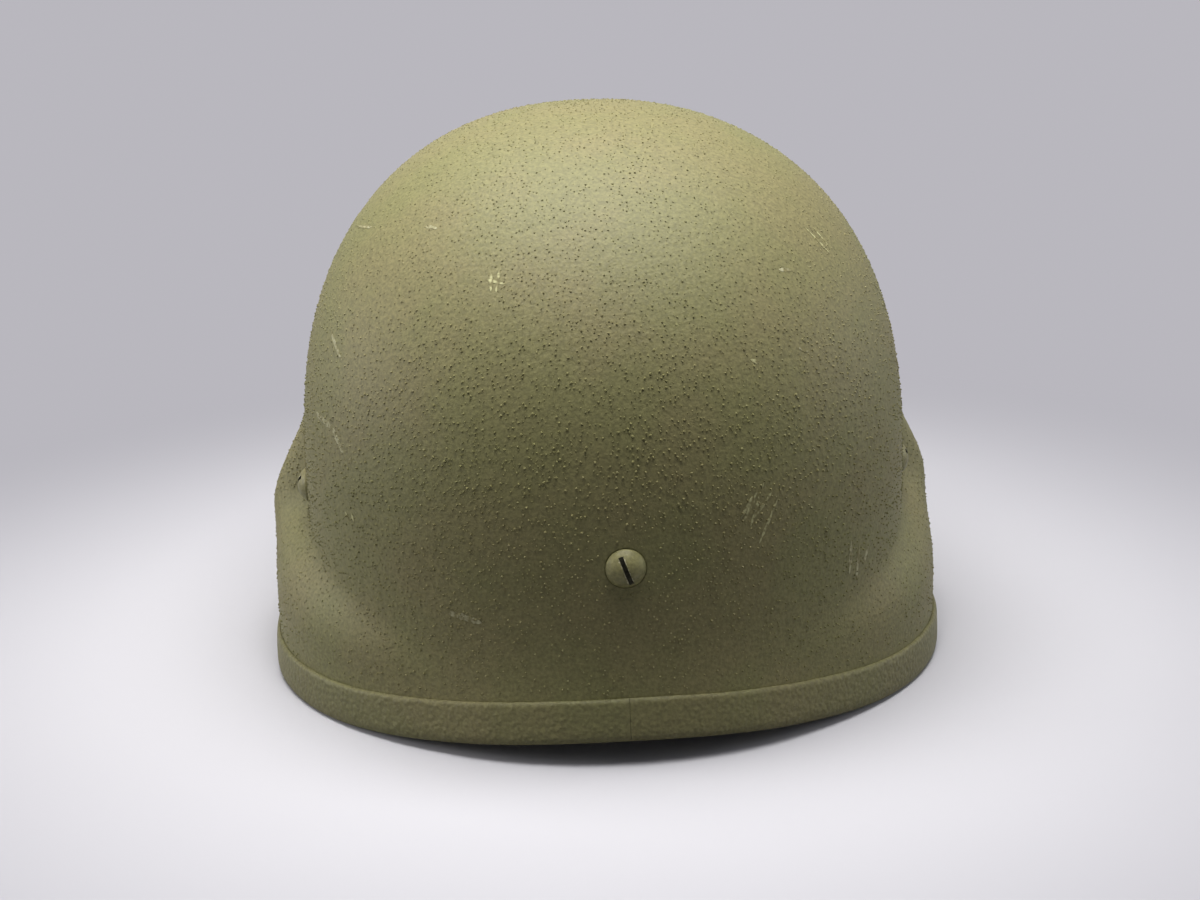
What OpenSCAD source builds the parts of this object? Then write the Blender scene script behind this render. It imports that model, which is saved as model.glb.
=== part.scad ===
// Combat helmet: a laminate shell with a rubber edge trim, five screw fixings, a webbing
// sling suspension with a leather headband, and a chin strap that swings on the side fixings.
// Millimetres, +Z up, brim towards -Y. The helmet stands on its edge trim at Z = 0.
// Azimuths are measured round the helmet from the front, 90 at +X and 180 at the nape.

/* [Shell] */
// Height of the crown above the lowest edge
shell_h = 193; // [188:1:198]
// Half width of the dome above the ears
dome_half_w = 104.5; // [101:0.5:108]
// Reach of the dome forward of its widest line
front_reach = 163; // [157:1:169]
// Reach of the dome behind its widest line
rear_reach = 90; // [86:1:94]
// Fullness of the brow seen from above
brow_square = 2.3; // [2.1:0.1:2.5]
// Thickness of the laminate
wall = 9; // [8:0.5:10]
// Height where the upright wall starts to turn into the crown
shoulder_z = 61; // [56:1:66]
// Fullness of the crown seen from the side
crown_square = 2.9; // [2.6:0.1:3.2]
// Roundness of the top of the crown
crown_round = 2.2; // [2:0.05:2.4]
// How far the top of the crown sits forward of the widest line
crown_shift = 26; // [22:1:34]

/* [Ear bulge] */
// How far the wall bulges out over the ears
ear_out = 16; // [12:0.5:18]
// Height where the bulge starts to fade
ear_shoulder_z = 52.5; // [48:0.5:57]
// Height where the bulge has faded
ear_top_z = 99; // [94:1:104]

/* [Rim] */
// Height of the rim at the brim
brim_z = 42; // [36:1:46]
// Height of the rim at the nape
nape_z = 8; // [4:1:12]
// Height of the flare above the rim
flare_h = 34; // [30:1:38]
// Flare of the brim
flare_front = 13; // [9:0.5:15]
// Flare of the sides
flare_side = 0.5; // [0:0.5:3]
// Flare of the nape
flare_rear = 4; // [2:0.5:7]

/* [Edge trim] */
// Height of the trim on the wall
trim_h = 13.5; // [11:0.5:15]
// Thickness of the trim
trim_t = 1.8; // [1.4:0.1:2.2]
// Butt gap between the trim's two ends at the nape
trim_seam = 0.5; // [0.2:0.1:1]

/* [Fixings] */
// Radius of the slotted domed screw heads
head_r = 6.1; // [5.5:0.1:6.6]
// Height of the screw heads
head_h = 4.3; // [3.7:0.1:4.7]
// Height of the upright edge under the dome of a screw head
head_edge = 1; // [0.6:0.1:1.4]
// Width of the screwdriver slot
slot_w = 1.4; // [1:0.1:2]
// Depth of the screwdriver slot
slot_d = 1.7; // [1.2:0.1:2]
// Radius of the screw shank
shank_r = 2.4; // [2:0.1:2.6]
// Outer radius of the barrel of a post nut
post_r = 3.4; // [3.1:0.1:4]
// Thickness of the flange of a post nut
flange_t = 1.6; // [1.2:0.1:2]
// Radius of the flange of a post nut
flange_r = 6.5; // [5.5:0.25:7]
// Height of the rear fixing
rear_screw_z = 63.5; // [62:0.5:66]
// Height of the side fixings
side_screw_z = 68; // [67:0.5:70]
// Azimuth of the side fixings
side_screw_a = 92.5; // [92:0.25:94]
// Height of the front fixings
front_screw_z = 86; // [82:1:92]
// Azimuth of the front fixings
front_screw_a = 28; // [26:1:30]

/* [Sling] */
// Lower edge of the webbing band
band_z = 60; // [59:0.5:61]
// Width of the webbing band
band_w = 24; // [20:1:26]
// Thickness of the webbing
web_t = 1.6; // [1.2:0.1:2]
// Thickness of the spring steel clips
clip_t = 1.2; // [1:0.1:1.4]
// Width of the clips on the fixings
clip_w = 16; // [14:1:16]
// Width of the headband clips
head_clip_w = 12; // [10:1:12]
// Width of the crown straps
crown_w = 14; // [12:1:15]
// Space from the draw ring, where the crown straps meet, up to the top of the shell
crown_gap = 35; // [32:1:42]
// Radius of the ring that the drawcord runs in
draw_r = 22; // [21:1:25]
// Radius of the drawcord
draw_cord_r = 1.3; // [1:0.1:1.5]

/* [Headband] */
// Lower edge of the headband
headband_z = 58; // [57:0.5:59]
// Height of the headband
headband_h = 36; // [32:1:40]
// Thickness of the headband at its edges
headband_t = 2; // [1.6:0.1:2.6]
// Crown of the headband's pad towards the head
headband_pad = 1.4; // [0.8:0.2:2]
// Space between the webbing band and the headband
head_gap = 5; // [4.5:0.25:6]

/* [Chin strap] */
// Angle of the stowed strap below level
strap_tilt = 24; // [23:0.5:25]
// Distance from the hinge to the front of the strap
strap_reach = 125; // [120:1:127]
// Width of the strap webbing
strap_w = 19; // [16:1:20]
// Height of the chin cup
cup_h = 36; // [30:1:37]
// Thickness of the chin cup's padding
cup_t = 5; // [3.5:0.5:6]
// Half length of the chin cup along the strap
cup_half = 44; // [38:1:48]
// Radius of the anchor ring round a side post
anchor_r = 10; // [9:0.5:10.5]
// Thickness of the anchor plates
anchor_t = 1.5; // [1.2:0.1:1.8]
// Length of the sliding buckles
buckle_len = 14; // [12:1:14]
// Travel of the sliding buckles
buckle_travel = 14; // [10:1:14]
// Length of the release flap
flap_len = 17; // [14:1:18]

/* [Hidden] */

olive = "#6b6747";
olive_light = "#77734f";
black_steel = "#3a3a34";
webbing_green = "#5d6044";
leather_tan = "#9a7f58";
round_fn = 48;

// Azimuths where the rim and the bulge turn
brim_turn_start = 34;
brim_turn_end = 58;
nape_start = 110;
flare_front_end = 25;
flare_front_fade = 35;
flare_rear_start = 95;
flare_rear_fade = 60;
ear_front_start = 38;
ear_front_end = 51;
ear_back_low = [74, 148];
ear_back_high = [82, 90];
ear_lean_z = [25, 62];

// Clearances
trim_fit = 0.1;
run_gap = 0.3;
post_fit = 0.1;
hinge_fit = 0.05;
band_gap = 1.4;
plate_gap = 1.1;
sewn_gap = 0.9;
touch_gap = 0.05;

// Grid of the shell
columns = 90;
lip_steps = [trim_t, trim_h / 2, trim_h];
crown_rows = 20;

widest_y = (front_reach + flare_front - rear_reach - flare_rear) / 2;

function smooth(t) = let(c = min(1, max(0, t))) c * c * (3 - 2 * c);
function ramp(v, from, to) = smooth((v - from) / (to - from));
function blend(p, q, t) = p + (q - p) * t;

// Shape of the shell's skin, set in from the outside by a given inset
function rim_z(a) =
    brim_z * (1 - ramp(abs(a), brim_turn_start, brim_turn_end))
    + nape_z * ramp(abs(a), nape_start, 180);
function plan_reach(a) = abs(a) < 90 ? front_reach : rear_reach;
function plan_power(a) = abs(a) < 90 ? brow_square : 2;
function plan_r(a, inset) =
    let(n = plan_power(a), across = abs(sin(a)) / (dome_half_w - inset), along = abs(cos(a)) / (plan_reach(a) - inset))
    pow(pow(across, n) + pow(along, n), -1 / n);
function crown_u(z, inset) =
    min(0.99999, max(0, (z - shoulder_z) / (shell_h - inset - shoulder_z)));
function crown_k(z, inset) =
    pow(1 - pow(crown_u(z, inset), crown_square), 1 / crown_round);
function ear_r(a, z) =
    let(lean = ramp(z, ear_lean_z[0], ear_lean_z[1]), back = blend(ear_back_low, ear_back_high, lean))
    ear_out * ramp(abs(a), ear_front_start, ear_front_end)
    * (1 - ramp(abs(a), back[0], back[1])) * (1 - ramp(z, ear_shoulder_z, ear_top_z));
function flare_out(a) =
    abs(a) < 90
    ? blend(flare_front, flare_side, smooth((abs(a) - flare_front_end) / flare_front_fade))
    : blend(flare_side, flare_rear, smooth((abs(a) - flare_rear_start) / flare_rear_fade));
function flare_r(a, z) =
    flare_out(a) * pow(max(0, min(1, 1 - (z - rim_z(a)) / flare_h)), 2);
function skin(a, z, inset, out = 0) =
    let(r = plan_r(a, inset) * crown_k(z, inset) + ear_r(a, z) + flare_r(a, z) + out)
    [r * sin(a), widest_y - crown_shift * pow(crown_u(z, inset), 2) - r * cos(a), z];

// Heights near the rim, measured square to a rim that climbs
function rim_climb(a) =
    (rim_z(a + 1) - rim_z(a - 1)) / (PI / 90 * plan_r(a, 0));
function lip_z(a, d) = rim_z(a) + d * sqrt(1 + pow(rim_climb(a), 2));

// Rings that hang inside the dome at a given depth from its outside
function ring_normal(a) =
    let(r = plan_r(a, 0), m = plan_power(a) - 1,
        across = sign(sin(a)) * pow(abs(r * sin(a)) / dome_half_w, m) / dome_half_w,
        along = sign(cos(a)) * pow(abs(r * cos(a)) / plan_reach(a), m) / plan_reach(a))
    [across, -along] / norm([across, along]);
function ring_xy(a, depth) =
    let(r = plan_r(a, 0))
    [r * sin(a), widest_y - r * cos(a)] - depth * ring_normal(a);
function ring_pt(a, depth, z) = let(p = ring_xy(a, depth)) [p[0], p[1], z];

// Triangles between rings of points, for an outer face and for an inner face
function outer_strip(rows, cols, start) = [
    for (j = [0:rows - 2], i = [0:cols - 1])
        let(k = (i + 1) % cols, p = start + j * cols)
        each [[p + i, p + cols + i, p + cols + k], [p + i, p + cols + k, p + k]]];
function inner_strip(rows, cols, start) = [
    for (j = [0:rows - 2], i = [0:cols - 1])
        let(k = (i + 1) % cols, p = start + j * cols)
        each [[p + k, p + cols + i, p + i], [p + k, p + cols + k, p + cols + i]]];

// A solid swept through a list of like sections
module sweep(sections, closed = false) {
    count = len(sections);
    sides = len(sections[0]);
    walls = outer_strip(count, sides, 0);
    last = (count - 1) * sides;
    join = [for (m = [0:sides - 1])
        let(k = (m + 1) % sides)
        each [[last + m, m, k], [last + m, k, last + k]]];
    caps = [[for (m = [0:sides - 1]) m], [for (m = [sides - 1:-1:0]) last + m]];
    polyhedron([for (s = sections) each s], concat(walls, closed ? join : caps));
}

// Screw fixings: a place on the wall, the way the screw points and how far the seat is sunk
plain_sink = 0.5;
side_sink = 0.9;
seat_cut = 8;
head_gap_r = 0.4;
rear_fix = [180, rear_screw_z, 180, plain_sink];
left_fix = [side_screw_a, side_screw_z, 90, side_sink];
right_fix = [-side_screw_a, side_screw_z, -90, side_sink];
front_turn = atan2(ring_normal(front_screw_a)[0], -ring_normal(front_screw_a)[1]);
front_left_fix = [front_screw_a, front_screw_z, front_turn, plain_sink];
front_right_fix = [-front_screw_a, front_screw_z, -front_turn, plain_sink];
fixings = [rear_fix, left_fix, right_fix, front_left_fix, front_right_fix];
slot_turns = [20, -38, 42, 65, 110];

function out_dir(turn) = [sin(turn), -cos(turn), 0];
function seat_pt(fix) = skin(fix[0], fix[1], 0) - fix[3] * out_dir(fix[2]);

// Depth of a fixing's seat below the dome's outline, along the screw
function seat_depth(fix) =
    let(p = seat_pt(fix), edge = ring_pt(fix[0], 0, fix[1]))
    (edge - p) * out_dir(fix[2]);

// The chin strap's hinge line and the layers on a side post, from the wall inwards
hinge_y = seat_pt(left_fix)[1];
hinge_z = side_screw_z;
side_seat_x = seat_pt(left_fix)[0];
inner_half_w = dome_half_w - wall;
swung_back = 13.5;
anchor_back = (hinge_y + swung_back - widest_y) / (rear_reach - wall);
anchor_out_x = inner_half_w * sqrt(1 - pow(anchor_back, 2)) - run_gap;
anchor_in_x = anchor_out_x - anchor_t;
side_clip_depth = side_seat_x - anchor_in_x + run_gap;
plain_clip_depth = wall - plain_sink + plate_gap;
function clip_depth(fix) = abs(fix[2]) == 90 ? side_clip_depth : plain_clip_depth;

// Depths of the sling's layers below the dome's outline
flange_in_x = anchor_in_x - run_gap - clip_t - touch_gap - flange_t;
band_depth = dome_half_w - (flange_in_x - run_gap);
band_in_depth = band_depth + web_t;
headband_depth = band_in_depth + head_gap;
band_top = band_z + band_w;
crown_top_z = shell_h - crown_gap;

module at_fixing(fix) {
    translate(seat_pt(fix))
        rotate([0, 0, fix[2] - 90])
            children();
}

// Arc of a low dome, from its edge to its top, as radius and height
dome_steps = 6;
function dome(r, edge, h) =
    let(rise = h - edge, big = (r * r + rise * rise) / (2 * rise), half = asin(r / big))
    [for (i = [0:dome_steps]) let(t = half * (1 - i / dome_steps)) [big * sin(t), h - big + big * cos(t)]];

// A turned piece along X, from a profile of radius and distance
module turned_piece(profile) {
    rotate([0, 90, 0])
        rotate_extrude($fn = round_fn)
            polygon(profile);
}

// A straight round bar along X between two places
module bar(from, to, r) {
    translate([min(from, to), 0, 0])
        rotate([0, 90, 0])
            cylinder(h = abs(to - from), r = r, $fn = round_fn);
}

// The laminate shell, open below, with its five screw holes
module shell_body() {
    azimuths = [for (i = [0:columns - 1]) -180 + 360 * i / columns];
    low = len(lip_steps);
    rows = low + crown_rows - 1;
    function row_z(a, j, inset) =
        j < low ? lip_z(a, lip_steps[j])
        : blend(lip_z(a, trim_h), shell_h - inset, sin(90 * (j - low + 1) / crown_rows));
    function side(inset) = [for (j = [0:rows - 1]) for (a = azimuths) skin(a, row_z(a, j, inset), inset)];
    function top(inset) = [0, widest_y - crown_shift, shell_h - inset];
    ring = rows * columns;
    outer_top = 2 * ring;
    inner_top = outer_top + 1;
    outer = outer_strip(rows, columns, 0);
    inner = inner_strip(rows, columns, ring);
    last = (rows - 1) * columns;
    caps = [for (i = [0:columns - 1])
        let(k = (i + 1) % columns)
        each [[last + i, outer_top, last + k], [ring + last + k, inner_top, ring + last + i]]];
    edge = [for (i = [0:columns - 1])
        let(k = (i + 1) % columns)
        each [[i, k, ring + i], [k, ring + k, ring + i]]];
    polyhedron(concat(side(0), side(wall), [top(0), top(wall)]), concat(outer, inner, caps, edge));
}

module shell() {
    color(olive)
        difference() {
            shell_body();
            for (fix = fixings)
                at_fixing(fix) {
                    bar(-2 * wall, seat_cut, post_r + post_fit);
                    bar(0, seat_cut, head_r + head_gap_r);
                }
        }
}

// Rubber U channel that wraps the rim, with its two ends butted at the nape
module edge_trim() {
    d = concat([0], lip_steps);
    seam_a = trim_seam / rear_reach * 90 / PI;
    function wall_xyz(a, k, inset, out) =
        let(z = lip_z(a, d[k]), p = skin(a, lip_z(a, max(d[k], trim_t)), inset, out)) [p[0], p[1], z];
    function floor_xyz(a, inset, out) =
        let(p = wall_xyz(a, 1, inset, out)) [p[0], p[1], p[2] - trim_fit];
    function section(a) = concat(
        [wall_xyz(a, 0, 0, trim_t)],
        [for (k = [0:3]) wall_xyz(a, k, wall, -trim_t)],
        [for (k = [3, 2]) wall_xyz(a, k, wall, -trim_fit)],
        [floor_xyz(a, wall, -trim_fit), floor_xyz(a, 0, trim_fit)],
        [for (k = [2, 3]) wall_xyz(a, k, 0, trim_fit)],
        [for (k = [3, 2, 1]) wall_xyz(a, k, 0, trim_t)]);
    azimuths = [for (i = [0:columns])
        i == 0 ? -180 + seam_a : i == columns ? 180 - seam_a : -180 + 360 * i / columns];
    color(olive_light)
        sweep([for (a = azimuths) section(a)]);
}

// Domed slotted screw with its shank in the post nut
module screw(index) {
    fix = fixings[index];
    shank_end = -clip_depth(fix);
    color(olive)
        at_fixing(fix)
            difference() {
                turned_piece(concat([[0, shank_end], [shank_r, shank_end], [shank_r, 0], [head_r, 0]],
                    dome(head_r, head_edge, head_h)));
                rotate([slot_turns[index], 0, 0])
                    translate([head_h - slot_d, -slot_w / 2, -head_r - 1])
                        cube([slot_d + 1, slot_w, 2 * head_r + 2]);
            }
}

// Flanged post nut that clamps the clip from inside
module post(index) {
    fix = fixings[index];
    flange_x = -clip_depth(fix) - clip_t - touch_gap;
    color(black_steel)
        at_fixing(fix)
            difference() {
                union() {
                    bar(flange_x, -touch_gap, post_r);
                    bar(flange_x - flange_t, flange_x, flange_r);
                }
                bar(-clip_depth(fix) - touch_gap, 1, shank_r + touch_gap);
            }
}

// J shaped spring steel clip: its plate is clamped by the post, its hook carries the band
module clip(index) {
    fix = fixings[index];
    plate_up = 9;
    tongue_up = 6.5;
    hole_r = post_r + 0.2;
    out_x = -clip_depth(fix);
    hook_x = seat_depth(fix) - band_in_depth - band_gap;
    floor_z = min(band_z - run_gap - fix[1], -flange_r - run_gap);
    tongue_z = band_z + tongue_up - fix[1];
    shape = [[out_x, plate_up], [out_x, floor_z - clip_t], [hook_x - clip_t, floor_z - clip_t],
        [hook_x - clip_t, tongue_z], [hook_x, tongue_z], [hook_x, floor_z],
        [out_x - clip_t, floor_z], [out_x - clip_t, plate_up]];
    color(black_steel)
        at_fixing(fix)
            difference() {
                translate([0, clip_w / 2, 0])
                    rotate([90, 0, 0])
                        linear_extrude(height = clip_w)
                            polygon(shape);
                bar(out_x - 2 * clip_t, out_x + clip_t, hole_r);
            }
}

// Section of a ring strip, with a crown of its own on the inside
function ring_section(a, depth, t, z, h, pad) = concat(
    [ring_pt(a, depth, z), ring_pt(a, depth + t, z)],
    pad > 0 ? [for (f = [0.15, 0.5, 0.85]) ring_pt(a, depth + t + pad * sin(180 * f), z + h * f)] : [],
    [ring_pt(a, depth + t, z + h), ring_pt(a, depth, z + h)]);

module suspension_band() {
    color(webbing_green)
        sweep([for (i = [0:columns - 1])
            ring_section(-180 + 360 * i / columns, band_depth, web_t, band_z, band_w, 0)], true);
}

// Leather headband, open at the nape
headband_end = 158;
headband_steps = 72;
module headband() {
    color(leather_tan)
        sweep([for (i = [0:headband_steps])
            ring_section(blend(-headband_end, headband_end, i / headband_steps), headband_depth,
                headband_t, headband_z, headband_h, headband_pad)]);
}

// Hook and loop tab that joins the headband's ends behind the head
closure_end = 146;
closure_h = 26;
closure_steps = 16;
module headband_closure() {
    color(webbing_green)
        sweep([for (i = [0:closure_steps])
            let(a = blend(closure_end, 360 - closure_end, i / closure_steps), b = a > 180 ? a - 360 : a)
            ring_section(b, headband_depth - run_gap - web_t, web_t,
                headband_z + (headband_h - closure_h) / 2, closure_h, 0)]);
}

// Spring clip that is sewn to the headband and hooks over the top of the band
head_clip_azimuths = [11, 60, 122];
module headband_clip(a) {
    t = 1;
    side_gap = 0.8;
    outer_drop = 8;
    step_z = 14;
    foot_h = 10;
    turn = atan2(ring_normal(a)[0], -ring_normal(a)[1]);
    top_z = band_top + run_gap;
    leg_x = -band_depth + side_gap;
    in_x = -band_in_depth - side_gap;
    foot_x = -headband_depth + run_gap;
    step_top = top_z - step_z;
    shape = [[leg_x + t, top_z + t], [leg_x + t, top_z - outer_drop], [leg_x, top_z - outer_drop],
        [leg_x, top_z], [in_x, top_z], [in_x, step_top - t], [foot_x + t, step_top - t],
        [foot_x + t, step_top - foot_h], [foot_x, step_top - foot_h], [foot_x, step_top],
        [in_x - t, step_top], [in_x - t, top_z + t]];
    color(black_steel)
        translate(ring_pt(a, 0, 0))
            rotate([0, 0, turn - 90])
                translate([0, head_clip_w / 2, 0])
                    rotate([90, 0, 0])
                        linear_extrude(height = head_clip_w)
                            polygon(shape);
}

// Crown strap: sewn inside the band, over the crown, with a loop for the drawcord
crown_azimuths = [27, 88, 150];
crown_ends = [31, 98, 154];
draw_forward = 22;
crown_y = widest_y - draw_forward;
loop_wall = 1;
loop_bore = draw_cord_r + 1.1;
crown_sew = 15;
module crown_strap(index, hand) {
    steps = 12;
    a = crown_azimuths[index];
    depth = band_in_depth + sewn_gap + web_t / 2;
    foot = ring_pt(a, depth, band_top);
    centre = [0, crown_y, crown_top_z];
    flat = [foot[0], foot[1] - crown_y, 0];
    away = out_dir(crown_ends[index]);
    loop_at = centre + away * (draw_r - 0.5);
    tip = loop_at + away * (loop_bore + loop_wall / 2);
    rise = 0.62 * (crown_top_z - band_top);
    pull = 0.45 * (norm(flat) - draw_r);
    wide = [-away[1], away[0], 0];
    function bezier(t) =
        pow(1 - t, 3) * foot + 3 * pow(1 - t, 2) * t * (foot + [0, 0, rise])
        + 3 * (1 - t) * t * t * (tip + away * pull + [0, 0, 4]) + pow(t, 3) * tip;
    path = concat([foot - [0, 0, crown_sew]], [for (i = [0:steps]) bezier(i / steps)]);
    turn = [-ring_normal(a)[1], ring_normal(a)[0], 0];
    function side(i) = let(s = blend(turn, wide, ramp(i, 1, steps))) s / norm(s);
    function along(i) =
        let(p = path[max(0, i - 1)], q = path[min(len(path) - 1, i + 1)]) (q - p) / norm(q - p);
    function section(i) =
        let(w = side(i) * crown_w / 2, up = cross(side(i), along(i)), n = up / norm(up) * web_t / 2)
        [path[i] + w - n, path[i] - w - n, path[i] - w + n, path[i] + w + n];
    color(webbing_green)
        mirror([hand > 0 ? 0 : 1, 0, 0])
            union() {
                sweep([for (i = [0:len(path) - 1]) section(i)]);
                translate(loop_at)
                    rotate([0, 0, atan2(wide[1], wide[0])])
                        difference() {
                            bar(-crown_w / 2, crown_w / 2, loop_bore + loop_wall);
                            bar(-crown_w / 2 - 1, crown_w / 2 + 1, loop_bore);
                        }
            }
}

// Cord that draws the crown straps together, tied between the two front straps
knot_r = 3.2;
module drawcord() {
    color("#4c4f3a")
        union() {
            translate([0, crown_y, crown_top_z])
                rotate_extrude($fn = round_fn)
                    translate([draw_r, 0])
                        circle(r = draw_cord_r, $fn = 16);
            translate([0, crown_y - draw_r, crown_top_z])
                sphere(r = knot_r, $fn = 24);
        }
}

// The chin strap lies in one plane, which turns about the hinge line
module in_strap_plane() {
    translate([0, hinge_y, hinge_z])
        rotate([-strap_tilt, 0, 180])
            children();
}

// Path of the webbing: it leaves the anchor straight, leans in past the buckle, turns in along
// the cheek and bows round the chin. Each straight run has its start and its direction.
web_x = anchor_in_x - touch_gap - web_t / 2;
web_start = 16;
bend_at = 32;
buckle_from = 2;
lean_in = 0.15;
cheek_in = 0.42;
sewn_from = 14.5;
sewn_len = 3.5;
flap_end = 2;
function run_dir(slope) = [-slope, 1] / norm([-slope, 1]);
lean_run = [[web_x, bend_at], run_dir(lean_in)];
lean_len = buckle_from + buckle_len + buckle_travel + 2 * run_gap;
cheek_run = [lean_run[0] + lean_run[1] * lean_len, run_dir(cheek_in)];
cheek_len = sewn_from + sewn_len + flap_len + flap_end;
curve_steps = 14;
curve_from = cheek_run[0] + cheek_run[1] * cheek_len;
curve_pull = curve_from + cheek_run[1] * 17;
curve_front = [30, strap_reach];
function curve_pt(t) =
    pow(1 - t, 3) * curve_from + 3 * pow(1 - t, 2) * t * curve_pull
    + 3 * (1 - t) * t * t * curve_front + pow(t, 3) * [0, strap_reach];
half_path = concat([[web_x, web_start], lean_run[0], cheek_run[0]], [for (i = [0:curve_steps]) curve_pt(i / curve_steps)]);
strap_path = concat(half_path, [for (i = [len(half_path) - 2:-1:0]) [-half_path[i][0], half_path[i][1]]]);

// Unit vector to the outside of a path at one of its points
function path_out(path, i) =
    let(p = path[max(0, i - 1)], q = path[min(len(path) - 1, i + 1)], t = (q - p) / norm(q - p))
    [t[1], -t[0]];
function beside(path, d) = [for (i = [0:len(path) - 1]) path[i] + d * path_out(path, i)];

stud_h = 1.3;

// A place beside a straight run of the strap, and a block along it
function on_run(run, s, out) = run[0] + run[1] * s + [run[1][1], -run[1][0]] * out;
module run_block(run, s, len, out, t, w) {
    at = on_run(run, s, out);
    translate([at[0], at[1], 0])
        rotate([0, 0, atan2(run[1][1], run[1][0])])
            translate([0, 0, -w / 2])
                cube([len, t, w]);
}

// Webbing of the chin strap, one length from side to side, with the sewn root of the flap
module chin_webbing() {
    near = beside(strap_path, web_t / 2);
    far = beside(strap_path, -web_t / 2);
    color(webbing_green)
        in_strap_plane()
            difference() {
                union() {
                    translate([0, 0, -strap_w / 2])
                        linear_extrude(height = strap_w)
                            polygon(concat(near, [for (i = [len(far) - 1:-1:0]) far[i]]));
                    mirror([1, 0, 0])
                        run_block(cheek_run, sewn_from, sewn_len, web_t / 2 + stud_h + web_t, stud_h + 2 * web_t, strap_w);
                }
                translate([0, rivet_at, 0])
                    bar(-web_x - web_t, web_x + web_t, rivet_r / 2 + hinge_fit);
            }
}

// Padded chin cup on the inner side of the webbing
cup_steps = 20;
cup_end_h = 22;
function cup_half_path() = [for (i = [0:cup_steps]) curve_pt(i / cup_steps)];
module chin_cup() {
    half = [for (p = cup_half_path()) if (p[0] <= cup_half) p];
    path = concat([for (i = [0:len(half) - 1]) half[i]],
        [for (i = [len(half) - 2:-1:0]) [-half[i][0], half[i][1]]]);
    count = len(path);
    outline = [[0, -0.9], [0.2, -1], [0.75, -0.85], [1, -0.5], [1, 0.5], [0.75, 0.85], [0.2, 1], [0, 0.9]];
    function section(i) =
        let(f = sin(180 * i / (count - 1)), h = blend(cup_end_h, cup_h, f) / 2, t = blend(0.6, 1, f) * cup_t,
            out = path_out(path, i), at = path[i] - out * (web_t / 2 + run_gap))
        [for (m = outline) [at[0] - out[0] * t * m[0], at[1] - out[1] * t * m[0], h * m[1]]];
    color(leather_tan)
        in_strap_plane()
            sweep([for (i = [0:count - 1]) section(i)]);
}

// Steel anchor plate: its ring turns on the side post and its neck holds the webbing
neck_w = 10;
neck_end = 30;
rivet_at = 23;
rivet_r = 3.2;
rivet_head = 0.8;
module strap_anchor(side) {
    color(black_steel)
        in_strap_plane()
            mirror([side > 0 ? 1 : 0, 0, 0])
                difference() {
                    union() {
                        bar(anchor_in_x, anchor_out_x, anchor_r);
                        translate([anchor_in_x, 0, -neck_w / 2])
                            cube([anchor_t, neck_end, neck_w]);
                    }
                    bar(anchor_in_x - 1, anchor_out_x + 1, post_r + hinge_fit);
                    translate([0, rivet_at, 0])
                        bar(anchor_in_x - 1, anchor_out_x + 1, rivet_r / 2 + hinge_fit);
                }
}

module strap_rivet(side) {
    web_in_x = web_x - web_t / 2;
    color(black_steel)
        in_strap_plane()
            mirror([side > 0 ? 1 : 0, 0, 0])
                translate([0, rivet_at, 0])
                    union() {
                        bar(web_in_x - rivet_head, web_in_x, rivet_r);
                        bar(web_in_x, anchor_out_x, rivet_r / 2);
                        bar(anchor_out_x, anchor_out_x + rivet_head, rivet_r);
                    }
}

// Ladder buckle that slides on the first straight run of the webbing
buckle_t = 4;
buckle_rim = 1.8;
buckle_bar = 2.6;
module buckle(side) {
    inner_w = strap_w + 2 * run_gap;
    color(black_steel)
        in_strap_plane()
            mirror([side > 0 ? 1 : 0, 0, 0])
                difference() {
                    run_block(lean_run, buckle_from, buckle_len, buckle_t / 2, buckle_t, inner_w + 2 * buckle_rim);
                    run_block(lean_run, buckle_from - 1, buckle_len + 2, web_t / 2 + run_gap, web_t + 2 * run_gap, inner_w);
                    for (k = [0, 1])
                        run_block(lean_run, buckle_from + buckle_bar + k * (buckle_len - buckle_bar) / 2,
                            (buckle_len - 3 * buckle_bar) / 2, buckle_t, 2 * buckle_t, inner_w - 2);
                }
}

// Elastic keeper round the webbing beside the chin cup
keeper_step = 6;
keeper_len = 6;
keeper_t = 1.2;
module strap_keeper(side) {
    at = half_path[keeper_step];
    out = path_out(half_path, keeper_step);
    color(black_steel)
        in_strap_plane()
            mirror([side > 0 ? 1 : 0, 0, 0])
                translate([at[0], at[1], 0])
                    rotate([0, 0, atan2(out[1], out[0])])
                        difference() {
                            cube([web_t + 2 * run_gap + 2 * keeper_t, keeper_len,
                                strap_w + 2 * run_gap + 2 * keeper_t], center = true);
                            cube([web_t + 2 * run_gap, keeper_len + 2, strap_w + 2 * run_gap], center = true);
                        }
}

// Snap fastener under a release flap on the left side of the strap
flap_from = sewn_from + sewn_len + run_gap / 2;
flap_out = web_t / 2 + stud_h + web_t;
snap_at = flap_from + flap_len - 7;
stud_r = 4.5;
cap_r = 6;
cap_h = 1.8;
cap_edge = 0.4;
module on_cheek(s, out) {
    at = on_run(cheek_run, s, out);
    in_strap_plane()
        mirror([1, 0, 0])
            translate([at[0], at[1], 0])
                rotate([0, 0, atan2(-cheek_run[1][0], cheek_run[1][1])])
                    children();
}

module snap_stud() {
    color(black_steel)
        on_cheek(snap_at, web_t / 2 + touch_gap)
            bar(0, stud_h - run_gap - touch_gap, stud_r);
}

module release_flap() {
    color(webbing_green)
        in_strap_plane()
            mirror([1, 0, 0])
                run_block(cheek_run, flap_from, flap_len, flap_out, web_t, strap_w);
}

module snap_cap() {
    color(black_steel)
        on_cheek(snap_at, flap_out + touch_gap)
            turned_piece(concat([[0, 0], [cap_r, 0]], dome(cap_r, cap_edge, cap_h)));
}

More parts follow.
